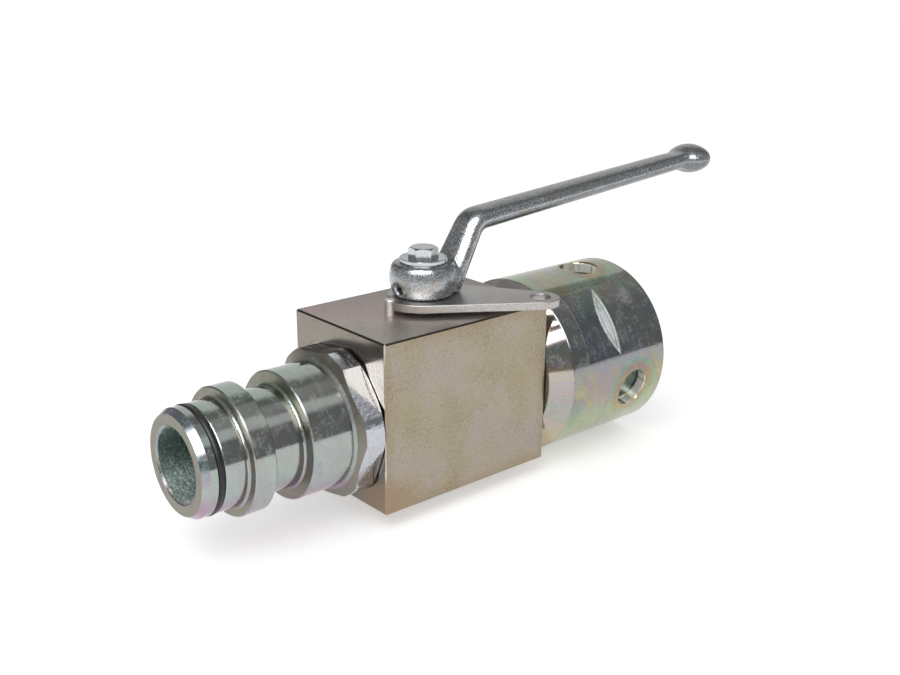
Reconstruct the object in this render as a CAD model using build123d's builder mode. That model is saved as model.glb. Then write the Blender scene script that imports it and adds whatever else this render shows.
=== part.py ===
from build123d import *
import math
import os

# Lockable high pressure ball valve, DN 32, with a plug end and a union nut end.
#
# Frame: +X along the flow axis from the plug to the union nut, +Z up along the spindle, origin in
# the middle of the block's base face, right under the spindle. Millimetres. The valve is open as
# stored: the lever lies along +X and the stop plate rests on its pin.

# Valve block
BLOCK_L = 105.0            # along the flow
BLOCK_W = 72.0             # across the flow
BLOCK_H = 86.0             # along the spindle
FLOW_H = 40.0              # flow axis above the base face
EDGE_BREAK = 0.8           # broken edges of the block
SPOT_FACE_R = 39.2         # turned seat for the hexagon of the plug
SPOT_FACE_DEPTH = 0.25

# Ball and its chamber
PORT_R = 16.0              # DN 32 passage
BALL_R = 25.0
CHAMBER_GAP = 2.0          # free space round the ball
SEAT_LIFT = 0.05           # film between the ball and a seat
SEAT_R = 23.0              # outside of a seat ring
SEAT_FACE_X = 14.0         # where a seat starts, from the ball's centre
SEAT_BACK_X = 22.6         # where a seat ends
SEAT_POCKET_X = 25.6       # bottom of a seat's pocket
PIECE_GAP = 0.05           # radial play of a turned part screwed or pushed into another

# Threaded ports of the block
PLUG_PORT_R = 30.0         # left port, M60 thread
PLUG_GUIDE_LEN = 20.0      # plain bore between the left port's thread and the seat
TAIL_PORT_R = 24.0         # right port, M48 thread
TAIL_PILOT_R = 21.0        # plain bore behind the right port's thread
TAIL_PILOT_LEN = 6.0
THROAT_LEN = 4.4           # wall between the right seat's pocket and the right port

# Plug (left screw-in adapter)
PLUG_REACH = 88.1          # end face of the plug to the block
PLUG_BORE_R = 17.5
PLUG_BORE_LEN = 70.0
PLUG_NOSE_R = 25.4
PLUG_NOSE_LEN = 22.4       # end face to the collar
PLUG_LEAD = 3.4            # length of the outer lead chamfer
PLUG_LEAD_DROP = 2.1       # how much the lead chamfer takes off the radius
PLUG_GROOVE_START = 9.4    # end face to the seal groove
PLUG_GROOVE_W = 5.2
PLUG_GROOVE_R = 22.75
PLUG_SEAL_R = 1.5          # half the seal ring's thickness
COLLAR_R = 30.4
COLLAR_LEN = 10.9
WAIST_R = 24.6
WAIST_LEN = 18.6
DRUM_R = 31.1
DRUM_LEN = 21.8
HEX_AF = 70.0              # wrench size of the plug's hexagon
HEX_LEN = 11.7
HEX_CORNER_R = 37.3        # corners turned down to this radius
HEX_TURN = 51.5            # direction of a corner of the hexagon about the flow axis, degrees
HEX_PAD_R = 33.6           # washer face under the hexagon
HEX_PAD_LEN = 1.6
TURNED_FILLET = 1.4        # inside corners of the turned profile
TURNED_BREAK = 0.6         # outside corners of the turned profile
GROOVE_BREAK = 0.25        # edges of the plug's seal groove
SEAL_GROOVE_W = 3.2        # grooves of the two port seals
SEAL_GROOVE_DEPTH = 2.3

# Tail adapter and union nut (right end)
NUT_GAP = 0.6              # block to the nut, pushed home against the adapter's collar
NUT_LEN = 82.5
NUT_LEAD = 9.5             # 45 degree cone at the nut's left end
NUT_LEAD_BREAK = 0.3       # broken edge between the cone and the outside
NUT_THREAD_R = 38.4        # minor radius of the M80 x 3 thread
NUT_WALL = 9.6             # thread's minor radius to the outside
NUT_FLANGE_LEN = 20.8
NUT_THREAD_LEN = 38.0
NUT_RELIEF_DEPTH = 2.2     # relief groove behind the thread
NUT_RELIEF_LEN = 7.0
NUT_RUN = 0.08             # running play of the nut on the adapter's neck
NUT_SIDE_PLAY = 0.1        # axial play between the nut's flange and the adapter's collar
NUT_FLAT_AT = 143.2        # direction of the first wrench flat about the flow axis, degrees
NUT_FLAT_CUT = 4.2         # how deep the two wrench flats are milled
NUT_FLAT_START = 21.2      # from the nut's left end
NUT_FLAT_LEN = 24.9
NUT_HOLE_R = 10.0          # tommy bar holes
NUT_HOLE_FROM_END = 58.2
NUT_HOLE_OFF = 51.0        # angle between a flat's middle and the holes beside it
NUT_HOLE_FULL = 1.8         # full diameter part of a hole, before the drill point
DRILL_POINT = 140.0        # angle of the drill point, degrees
NUT_HOLE_BREAK = 1.2       # countersink of a hole's rim
NECK_R = 29.0
TAIL_COLLAR_GAP = 0.5      # the adapter's collar passes through the nut's thread
TAIL_COLLAR_LEN = 8.0
SOCKET_R = 25.5
SOCKET_DEPTH = 23.0
SOCKET_WALL = 8.0
SOCKET_TUBE_LEN = 14.0     # tube in front of the collar
SOCKET_LEAD = 1.5

# Spindle
SHAFT_R = 9.0
SHAFT_RUN = 0.05           # running play of the shaft in the block
FOOT_R = 12.0              # blow-out collar inside the block
FOOT_GAP = 0.4
FOOT_BOTTOM = 25.4         # from the flow axis
FOOT_LEN = 4.6
THRUST_T = 1.5
TONGUE_W = 8.8
TONGUE_PLAY = 0.1
TONGUE_LEN = 22.0
SLOT_DEPTH = 6.0           # slot in the top of the ball
SQUARE_AF = 13.0           # square that carries the plate and the lever
SQUARE_PLAY = 0.1
SHAFT_SEAL_DEPTH = 1.8
SHAFT_SEAL_W = 2.6

# Stop plate and pin
PLATE_LIFT = 2.4           # gap under the plate
PLATE_T = 4.0
PLATE_R = 22.0             # round end of the plate about the spindle
PLATE_TIP_R = 9.7
PLATE_TIP_AT = 58.4        # spindle axis to the padlock hole
PLATE_AIM = -45.0          # direction of the padlock hole with the valve open, degrees
PADLOCK_R = 5.0
STOP_R = 17.9              # radius of the plate's cut-out for the pin
PIN_R = 2.75
PIN_AT = 21.0              # spindle axis to the pin
PIN_TALL = 7.3             # pin above the block
PIN_DEEP = 9.0
STOP_PLAY = 0.02           # between the pin and the plate at the end of the stroke
PLATE_BREAK = 0.3          # broken edges of the plate

# Lever
BOSS_H = 16.9
BOSS_FOOT_R = 14.9
BOSS_BELLY_R = 17.1
BOSS_TOP_R = 13.2
BOSS_ROUND = 3.2           # rounding of the boss's top edge
ARM_BASE_X = 11.9          # where the arm's centre line crosses the plate's top
ARM_SLOPE = 59.5           # rise of the crank arm, degrees
BEND_X = 31.5              # corner of the centre line, from the spindle axis
BEND_R = 9.0
BAR_SLOPE = 4.65           # rise of the bar, degrees
KNOB_X = 207.2             # middle of the knob, from the spindle axis
ARM_W = 22.2
ARM_T = 10.6
BEND_W = 17.0
BEND_T = 10.2
BAR_W = 15.0
BAR_T = 9.0
KNOB_R = 13.0
KNOB_T = 17.2
KNOB_RIM_R = 5.9           # rounding of the knob's rim
KNOB_DROP = 1.0            # middle of the knob below the bar's centre line

# Lever screw, washer and grub screw
SCREW_R = 4.0              # M8
SCREW_AF = 13.0
SCREW_HEAD = 5.3
SCREW_LEN = 20.0
SCREW_HEAD_TURN = 20.4     # where a corner of the tightened head points, degrees
TAP_PLAY = 0.05
WASHER_R = 12.0
WASHER_HOLE_R = 4.2
WASHER_T = 2.0
GRUB_R = 2.5               # M5
GRUB_LEN = 7.0
GRUB_UP = 4.2              # grub screw above the boss's foot
GRUB_KEY_AF = 2.5
GRUB_MOUTH = 0.7           # countersink of the grub screw's hole

# Levels and stations that follow from the sizes above
LEFT = -BLOCK_L / 2
RIGHT = BLOCK_L / 2
CHAMBER_R = BALL_R + CHAMBER_GAP
PLUG_END = LEFT - PLUG_REACH
COLLAR_START = PLUG_END + PLUG_NOSE_LEN
WAIST_START = COLLAR_START + COLLAR_LEN
DRUM_START = WAIST_START + WAIST_LEN
DRUM_END = DRUM_START + DRUM_LEN
HEX_START = LEFT - HEX_PAD_LEN - HEX_LEN
PLUG_THREAD_END = -SEAT_FACE_X - PLUG_GUIDE_LEN
TAIL_THREAD_END = SEAT_POCKET_X + THROAT_LEN + TAIL_PILOT_LEN
PLATE_Z = BLOCK_H + PLATE_LIFT
BOSS_Z = PLATE_Z + PLATE_T
WASHER_Z = BOSS_Z + BOSS_H
HEAD_Z = WASHER_Z + WASHER_T
THRUST_Z = FLOW_H + FOOT_BOTTOM + FOOT_LEN
FOOT_CEILING = THRUST_Z + THRUST_T
NUT_START = RIGHT + NUT_GAP
NUT_END = NUT_START + NUT_LEN
NUT_R = NUT_THREAD_R + NUT_WALL
TAIL_COLLAR_R = NUT_THREAD_R - TAIL_COLLAR_GAP
NECK_END = NUT_START + NUT_FLANGE_LEN + NUT_SIDE_PLAY
GRUB_Z = BOSS_Z + GRUB_UP

# Planes: FLOW has local x along the flow and local y up, ACROSS looks along the flow
FLOW = Plane(origin=(0, 0, FLOW_H), x_dir=(1, 0, 0), z_dir=(0, -1, 0))
FLOW_AXIS = Axis((0, 0, FLOW_H), (1, 0, 0))
SIDE = Plane(origin=(0, 0, 0), x_dir=(1, 0, 0), z_dir=(0, -1, 0))
SPINDLE_AXIS = Axis((0, 0, 0), (0, 0, 1))


def across(x):
    """Plane square to the flow at station x, local x along +Y and local y up."""
    return Plane(origin=(x, 0, FLOW_H), x_dir=(0, 1, 0), z_dir=(1, 0, 0))


def turn_flow(points, mode=Mode.ADD):
    """Turn a closed outline of (station, radius) points about the flow axis."""
    with BuildSketch(FLOW) as outline:
        with BuildLine():
            Polyline(*points, close=True)
        make_face()
    revolve(outline.sketch, axis=FLOW_AXIS, mode=mode)


def turn_spindle(points, mode=Mode.ADD):
    """Turn a closed outline of (radius, height) points about the spindle axis."""
    with BuildSketch(SIDE) as outline:
        with BuildLine():
            Polyline(*points, close=True)
        make_face()
    revolve(outline.sketch, axis=SPINDLE_AXIS, mode=mode)


def corners(outline, points):
    """Corners of a sketch outline that stand at the given (station, radius) points."""
    found = []
    for x, y in points:
        found.append(outline.vertices().sort_by_distance(Vector(x, y, 0))[0])
    return found


def ring_flow(station, ring_r, wire_r):
    """Round ring about the flow axis."""
    with BuildSketch(FLOW) as wire:
        with Locations((station, ring_r)):
            Circle(wire_r)
    revolve(wire.sketch, axis=FLOW_AXIS)


def ring_spindle(height, ring_r, wire_r):
    """Round ring about the spindle axis."""
    with BuildSketch(SIDE) as wire:
        with Locations((ring_r, height)):
            Circle(wire_r)
    revolve(wire.sketch, axis=SPINDLE_AXIS)


# Valve block: square bar, bored through from both ends, with the spindle bore on top
with BuildPart() as valve_block:
    with Locations((0, 0, BLOCK_H / 2)):
        Box(BLOCK_L, BLOCK_W, BLOCK_H)
    chamfer(valve_block.edges(), EDGE_BREAK)
    turn_flow([(LEFT - 1, 0), (LEFT - 1, SPOT_FACE_R), (LEFT + SPOT_FACE_DEPTH, SPOT_FACE_R),
               (LEFT + SPOT_FACE_DEPTH, 0)], Mode.SUBTRACT)
    turn_flow([(LEFT - 1, 0), (LEFT - 1, PLUG_PORT_R + 1), (LEFT + SPOT_FACE_DEPTH, PLUG_PORT_R + 1),
               (LEFT + SPOT_FACE_DEPTH + 1, PLUG_PORT_R), (PLUG_THREAD_END, PLUG_PORT_R),
               (PLUG_THREAD_END, CHAMBER_R), (SEAT_FACE_X, CHAMBER_R), (SEAT_FACE_X, SEAT_R),
               (SEAT_POCKET_X, SEAT_R), (SEAT_POCKET_X, PORT_R),
               (TAIL_THREAD_END - TAIL_PILOT_LEN, PORT_R),
               (TAIL_THREAD_END - TAIL_PILOT_LEN, TAIL_PILOT_R), (TAIL_THREAD_END, TAIL_PILOT_R),
               (TAIL_THREAD_END, TAIL_PORT_R), (RIGHT - 1, TAIL_PORT_R), (RIGHT, TAIL_PORT_R + 1),
               (RIGHT + 1, TAIL_PORT_R + 1), (RIGHT + 1, 0)], Mode.SUBTRACT)
    turn_spindle([(0, FLOW_H + BALL_R - 5), (FOOT_R + FOOT_GAP, FLOW_H + BALL_R - 5),
                  (FOOT_R + FOOT_GAP, FOOT_CEILING), (SHAFT_R + SHAFT_RUN, FOOT_CEILING),
                  (SHAFT_R + SHAFT_RUN, BLOCK_H - 0.6), (SHAFT_R + SHAFT_RUN + 0.6, BLOCK_H),
                  (SHAFT_R + SHAFT_RUN + 0.6, BLOCK_H + 1), (0, BLOCK_H + 1)], Mode.SUBTRACT)
    with Locations((-PIN_AT, 0, BLOCK_H - PIN_DEEP)):
        Cylinder(PIN_R, PIN_DEEP + 1, align=(Align.CENTER, Align.CENTER, Align.MIN), mode=Mode.SUBTRACT)

# Stop pin, pressed into the block
with BuildPart() as stop_pin:
    with Locations((-PIN_AT, 0, BLOCK_H - PIN_DEEP)):
        Cylinder(PIN_R, PIN_DEEP + PIN_TALL, align=(Align.CENTER, Align.CENTER, Align.MIN))
    chamfer(stop_pin.edges(), 0.4)

# Plug: nose with seal groove, collar, waist, drum and hexagon turned in one piece, bored through
with BuildPart() as plug_adapter:
    with BuildSketch(FLOW) as plug_outline:
        with BuildLine():
            Polyline((PLUG_END, 0), (PLUG_END, PLUG_NOSE_R - PLUG_LEAD_DROP),
                     (PLUG_END + PLUG_LEAD, PLUG_NOSE_R), (PLUG_END + PLUG_GROOVE_START, PLUG_NOSE_R),
                     (PLUG_END + PLUG_GROOVE_START, PLUG_GROOVE_R),
                     (PLUG_END + PLUG_GROOVE_START + PLUG_GROOVE_W, PLUG_GROOVE_R),
                     (PLUG_END + PLUG_GROOVE_START + PLUG_GROOVE_W, PLUG_NOSE_R),
                     (COLLAR_START, PLUG_NOSE_R), (COLLAR_START, COLLAR_R), (WAIST_START, COLLAR_R),
                     (WAIST_START, WAIST_R), (DRUM_START, WAIST_R), (DRUM_START, DRUM_R),
                     (DRUM_END, DRUM_R), (HEX_START, DRUM_R + 1.6), (HEX_START, 0), close=True)
        make_face()
        fillet(corners(plug_outline, [(COLLAR_START, PLUG_NOSE_R), (WAIST_START, WAIST_R),
                                      (DRUM_START, WAIST_R)]), TURNED_FILLET)
        chamfer(corners(plug_outline, [(COLLAR_START, COLLAR_R), (WAIST_START, COLLAR_R),
                                       (DRUM_START, DRUM_R)]), TURNED_BREAK)
        chamfer(corners(plug_outline, [(PLUG_END + PLUG_GROOVE_START, PLUG_NOSE_R),
                                       (PLUG_END + PLUG_GROOVE_START + PLUG_GROOVE_W, PLUG_NOSE_R)]),
                GROOVE_BREAK)
    revolve(plug_outline.sketch, axis=FLOW_AXIS)
    with BuildSketch(across(HEX_START)) as hexagon:
        RegularPolygon(HEX_AF / 2, 6, major_radius=False, rotation=HEX_TURN)
    extrude(hexagon.sketch, amount=HEX_LEN)
    HEX_END = HEX_START + HEX_LEN
    HEX_CHAMFER = (HEX_CORNER_R - DRUM_R - 1.6) * math.tan(math.radians(22))
    turn_flow([(HEX_START - 1, HEX_CORNER_R + 9), (HEX_START - 1, DRUM_R + 1.6), (HEX_START, DRUM_R + 1.6),
               (HEX_START + HEX_CHAMFER, HEX_CORNER_R), (HEX_END - 1.0, HEX_CORNER_R),
               (HEX_END, HEX_CORNER_R - 2.2), (HEX_END + 1, HEX_CORNER_R - 2.2),
               (HEX_END + 1, HEX_CORNER_R + 9)], Mode.SUBTRACT)
    SHANK_R = PLUG_PORT_R - PIECE_GAP
    GUIDE_R = CHAMBER_R - PIECE_GAP
    GUIDE_START = PLUG_THREAD_END + 0.3
    turn_flow([(HEX_END - 1, 0), (HEX_END - 1, HEX_PAD_R), (LEFT + SPOT_FACE_DEPTH, HEX_PAD_R),
               (LEFT + SPOT_FACE_DEPTH, SHANK_R - 1), (LEFT + SPOT_FACE_DEPTH + 1, SHANK_R - 1),
               (LEFT + SPOT_FACE_DEPTH + 2, SHANK_R), (PLUG_THREAD_END - 1.4, SHANK_R),
               (PLUG_THREAD_END - 0.4, SHANK_R - 1), (PLUG_THREAD_END - 0.4, GUIDE_R),
               (GUIDE_START + 1.2, GUIDE_R), (GUIDE_START + 1.2, CHAMBER_R - SEAL_GROOVE_DEPTH),
               (GUIDE_START + 1.2 + SEAL_GROOVE_W, CHAMBER_R - SEAL_GROOVE_DEPTH),
               (GUIDE_START + 1.2 + SEAL_GROOVE_W, GUIDE_R), (-SEAT_FACE_X - 0.6, GUIDE_R),
               (-SEAT_FACE_X, GUIDE_R - 0.6), (-SEAT_FACE_X, 0)])
    turn_flow([(PLUG_END - 1, 0), (PLUG_END - 1, PLUG_BORE_R + 0.9), (PLUG_END, PLUG_BORE_R + 0.9),
               (PLUG_END + 0.9, PLUG_BORE_R), (PLUG_END + PLUG_BORE_LEN, PLUG_BORE_R),
               (PLUG_END + PLUG_BORE_LEN + 1.5, PORT_R), (-SEAT_POCKET_X, PORT_R), (-SEAT_POCKET_X, SEAT_R),
               (-SEAT_FACE_X + 1, SEAT_R), (-SEAT_FACE_X + 1, 0)], Mode.SUBTRACT)

# Seal ring on the plug's nose, and the two port seals
with BuildPart() as plug_seal:
    ring_flow(PLUG_END + PLUG_GROOVE_START + PLUG_SEAL_R, PLUG_GROOVE_R + PLUG_SEAL_R, PLUG_SEAL_R)

PORT_SEAL_R = SEAL_GROOVE_DEPTH / 2
with BuildPart() as plug_port_seal:
    ring_flow(GUIDE_START + 1.2 + SEAL_GROOVE_W / 2, CHAMBER_R - PORT_SEAL_R, PORT_SEAL_R)

# Tail adapter: screwed into the right port, carries the union nut and takes a mating plug
with BuildPart() as tail_adapter:
    TAIL_SHANK_R = TAIL_PORT_R - PIECE_GAP
    TAIL_GUIDE_R = TAIL_PILOT_R - PIECE_GAP
    TAIL_START = TAIL_THREAD_END - TAIL_PILOT_LEN + 0.3
    COLLAR_END = NECK_END + TAIL_COLLAR_LEN
    SOCKET_END = COLLAR_END + SOCKET_TUBE_LEN
    SOCKET_FLOOR = SOCKET_END - SOCKET_DEPTH
    SOCKET_WALL_R = SOCKET_R + SOCKET_WALL
    turn_flow([(TAIL_START, PORT_R), (TAIL_START, TAIL_GUIDE_R - 0.5), (TAIL_START + 0.5, TAIL_GUIDE_R),
               (TAIL_START + 1.2, TAIL_GUIDE_R), (TAIL_START + 1.2, TAIL_PILOT_R - SEAL_GROOVE_DEPTH),
               (TAIL_START + 1.2 + SEAL_GROOVE_W, TAIL_PILOT_R - SEAL_GROOVE_DEPTH),
               (TAIL_START + 1.2 + SEAL_GROOVE_W, TAIL_GUIDE_R), (TAIL_THREAD_END + 0.4, TAIL_GUIDE_R),
               (TAIL_THREAD_END + 0.4, TAIL_SHANK_R - 1), (TAIL_THREAD_END + 1.4, TAIL_SHANK_R),
               (RIGHT - 2, TAIL_SHANK_R), (RIGHT - 1, TAIL_SHANK_R - 1), (RIGHT, TAIL_SHANK_R - 1),
               (RIGHT, NECK_R - TURNED_BREAK), (RIGHT + TURNED_BREAK, NECK_R), (NECK_END, NECK_R),
               (NECK_END, TAIL_COLLAR_R - TURNED_BREAK), (NECK_END + TURNED_BREAK, TAIL_COLLAR_R),
               (COLLAR_END - TURNED_BREAK, TAIL_COLLAR_R), (COLLAR_END, TAIL_COLLAR_R - TURNED_BREAK),
               (COLLAR_END, SOCKET_WALL_R), (SOCKET_END - TURNED_BREAK, SOCKET_WALL_R),
               (SOCKET_END, SOCKET_WALL_R - TURNED_BREAK), (SOCKET_END, SOCKET_R + SOCKET_LEAD / 2),
               (SOCKET_END - SOCKET_LEAD, SOCKET_R), (SOCKET_FLOOR, SOCKET_R), (SOCKET_FLOOR, PORT_R)])

with BuildPart() as tail_port_seal:
    ring_flow(TAIL_START + 1.2 + SEAL_GROOVE_W / 2, TAIL_PILOT_R - PORT_SEAL_R, PORT_SEAL_R)


def seat_outline(side):
    """Outline of a seat ring on one side of the ball, with a face that follows the ball."""
    reach = BALL_R + SEAT_LIFT
    inner_r = PORT_R + 0.4
    face_r = math.sqrt(reach ** 2 - (SEAT_FACE_X + 0.4) ** 2)
    inner_x = math.sqrt(reach ** 2 - inner_r ** 2)
    mid_r = (face_r + inner_r) / 2
    mid_x = math.sqrt(reach ** 2 - mid_r ** 2)
    with BuildSketch(FLOW) as outline:
        with BuildLine():
            ThreePointArc((side * inner_x, inner_r), (side * mid_x, mid_r),
                          (side * (SEAT_FACE_X + 0.4), face_r))
            Polyline((side * (SEAT_FACE_X + 0.4), face_r), (side * (SEAT_FACE_X + 0.4), SEAT_R - PIECE_GAP),
                     (side * SEAT_BACK_X, SEAT_R - PIECE_GAP), (side * SEAT_BACK_X, inner_r),
                     (side * inner_x, inner_r))
        make_face()
    return outline.sketch


# Seat rings pressed on the ball from both sides, each backed by a seal ring
with BuildPart() as seat_left:
    revolve(seat_outline(-1), axis=FLOW_AXIS)

with BuildPart() as seat_right:
    revolve(seat_outline(1), axis=FLOW_AXIS)

SEAT_SEAL_R = (SEAT_POCKET_X - SEAT_BACK_X) / 2
with BuildPart() as seat_seals:
    ring_flow(-SEAT_BACK_X - SEAT_SEAL_R, SEAT_R - SEAT_SEAL_R, SEAT_SEAL_R)
    ring_flow(SEAT_BACK_X + SEAT_SEAL_R, SEAT_R - SEAT_SEAL_R, SEAT_SEAL_R)

# Ball: bored through, with the slot that takes the spindle's tongue
with BuildPart() as ball:
    with Locations((0, 0, FLOW_H)):
        Sphere(BALL_R)
    with BuildSketch(across(-BALL_R)) as port:
        Circle(PORT_R)
    extrude(port.sketch, amount=2 * BALL_R, mode=Mode.SUBTRACT)
    with Locations((0, 0, FLOW_H + BALL_R - SLOT_DEPTH)):
        Box(TONGUE_W + 2 * TONGUE_PLAY, 2 * BALL_R, 2 * SLOT_DEPTH,
            align=(Align.CENTER, Align.CENTER, Align.MIN), mode=Mode.SUBTRACT)

# Spindle: tongue, blow-out collar, shaft with two seal grooves, square and tapped hole
SQUARE_TOP = WASHER_Z - 0.6
TAP_BOTTOM = HEAD_Z - SCREW_LEN - 2.0
with BuildPart() as spindle:
    SEAL_LAND = (BLOCK_H - FOOT_CEILING - 2 * SHAFT_SEAL_W) / 3
    SEAL_A = FOOT_CEILING + SEAL_LAND
    SEAL_B = SEAL_A + SHAFT_SEAL_W + SEAL_LAND
    GROOVE_R = SHAFT_R - SHAFT_SEAL_DEPTH
    turn_spindle([(0, FLOW_H + FOOT_BOTTOM), (FOOT_R - 0.4, FLOW_H + FOOT_BOTTOM),
                  (FOOT_R, FLOW_H + FOOT_BOTTOM + 0.4), (FOOT_R, THRUST_Z), (SHAFT_R, THRUST_Z),
                  (SHAFT_R, SEAL_A), (GROOVE_R, SEAL_A), (GROOVE_R, SEAL_A + SHAFT_SEAL_W),
                  (SHAFT_R, SEAL_A + SHAFT_SEAL_W), (SHAFT_R, SEAL_B), (GROOVE_R, SEAL_B),
                  (GROOVE_R, SEAL_B + SHAFT_SEAL_W), (SHAFT_R, SEAL_B + SHAFT_SEAL_W),
                  (SHAFT_R, PLATE_Z), (0, PLATE_Z)])
    with BuildSketch(Plane.XY.offset(PLATE_Z)) as square:
        Rectangle(SQUARE_AF, SQUARE_AF)
        Circle(SHAFT_R, mode=Mode.INTERSECT)
    extrude(square.sketch, amount=SQUARE_TOP - PLATE_Z)
    with BuildSketch(Plane.XY.offset(FLOW_H + BALL_R - SLOT_DEPTH + 0.3)) as tongue:
        Rectangle(TONGUE_W, TONGUE_LEN)
        Circle(FOOT_R - 0.5, mode=Mode.INTERSECT)
    extrude(tongue.sketch, amount=FOOT_BOTTOM - BALL_R + SLOT_DEPTH - 0.3 + 1)
    with Locations((0, 0, TAP_BOTTOM)):
        Cylinder(SCREW_R + TAP_PLAY, SQUARE_TOP - TAP_BOTTOM + 1,
                 align=(Align.CENTER, Align.CENTER, Align.MIN), mode=Mode.SUBTRACT)

SHAFT_SEAL_R = (SHAFT_R + SHAFT_RUN - GROOVE_R - 0.03) / 2
with BuildPart() as spindle_seals:
    ring_spindle(SEAL_A + SHAFT_SEAL_W / 2, GROOVE_R + SHAFT_SEAL_R, SHAFT_SEAL_R)
    ring_spindle(SEAL_B + SHAFT_SEAL_W / 2, GROOVE_R + SHAFT_SEAL_R, SHAFT_SEAL_R)

with BuildPart() as thrust_washer:
    turn_spindle([(SHAFT_R + 0.1, THRUST_Z), (FOOT_R, THRUST_Z), (FOOT_R, FOOT_CEILING),
                  (SHAFT_R + 0.1, FOOT_CEILING)])

# Stop plate: a drop shaped blank with the padlock hole in its tip and a quarter cut out for the pin
with BuildPart() as stop_plate:
    AIM = math.radians(PLATE_AIM)
    TIP = (PLATE_TIP_AT * math.cos(AIM), PLATE_TIP_AT * math.sin(AIM))
    OPENING = math.acos((PLATE_R - PLATE_TIP_R) / PLATE_TIP_AT)
    SIDES = []
    for side in (1, -1):
        a = AIM + side * OPENING
        SIDES.append([(PLATE_R * math.cos(a), PLATE_R * math.sin(a)),
                      (TIP[0] + PLATE_TIP_R * math.cos(a), TIP[1] + PLATE_TIP_R * math.sin(a))])
    with BuildSketch(Plane.XY.offset(PLATE_Z)) as drop:
        Circle(PLATE_R)
        with Locations(TIP):
            Circle(PLATE_TIP_R)
        with BuildLine():
            Polyline(SIDES[0][0], SIDES[0][1], SIDES[1][1], SIDES[1][0], close=True)
        make_face()
        with Locations(TIP):
            Circle(PADLOCK_R, mode=Mode.SUBTRACT)
    extrude(drop.sketch, amount=PLATE_T)
    WALL = PIN_R + STOP_PLAY
    with BuildSketch(Plane.XY.offset(PLATE_Z)) as cut_out:
        with Locations((WALL, -WALL)):
            Rectangle(2 * PLATE_R, 2 * PLATE_R, align=(Align.MAX, Align.MIN))
        Circle(STOP_R, mode=Mode.SUBTRACT)
    extrude(cut_out.sketch, amount=PLATE_T, mode=Mode.SUBTRACT)
    chamfer(stop_plate.edges().group_by(Axis.Z)[0] + stop_plate.edges().group_by(Axis.Z)[-1], PLATE_BREAK)
    with BuildSketch(Plane.XY.offset(PLATE_Z)) as plate_square:
        Rectangle(SQUARE_AF + 2 * SQUARE_PLAY, SQUARE_AF + 2 * SQUARE_PLAY)
    extrude(plate_square.sketch, amount=PLATE_T, mode=Mode.SUBTRACT)

# Lever: barrel boss, crank arm, bend, long bar and flattened knob, cast in one piece
ARM_RISE = math.radians(ARM_SLOPE)
BAR_RISE = math.radians(BAR_SLOPE)
ARM_DIR = (math.cos(ARM_RISE), math.sin(ARM_RISE))
BAR_DIR = (math.cos(BAR_RISE), math.sin(BAR_RISE))
BEND_Z = BOSS_Z + (BEND_X - ARM_BASE_X) * math.tan(ARM_RISE)
BEND_TRIM = BEND_R * math.tan((ARM_RISE - BAR_RISE) / 2)
BEND_IN = (BEND_X - BEND_TRIM * ARM_DIR[0], BEND_Z - BEND_TRIM * ARM_DIR[1])
BEND_OUT = (BEND_X + BEND_TRIM * BAR_DIR[0], BEND_Z + BEND_TRIM * BAR_DIR[1])
BEND_MID = (BEND_IN[0] + BEND_R * ARM_DIR[1], BEND_IN[1] - BEND_R * ARM_DIR[0])
BAR_RUN = (KNOB_X - BEND_X) / BAR_DIR[0]
BAR_END_Z = BEND_Z + BAR_RUN * BAR_DIR[1]
KNOB_Z = BAR_END_Z - KNOB_DROP


def lever_section(point, direction, width, thick):
    """Rounded section of the lever, square to its centre line."""
    plane = Plane(origin=(point[0], 0, point[1]), x_dir=(0, 1, 0), z_dir=(direction[0], 0, direction[1]))
    with BuildSketch(plane) as section:
        RectangleRounded(width, thick, 0.45 * thick)
    return section.sketch


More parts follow.
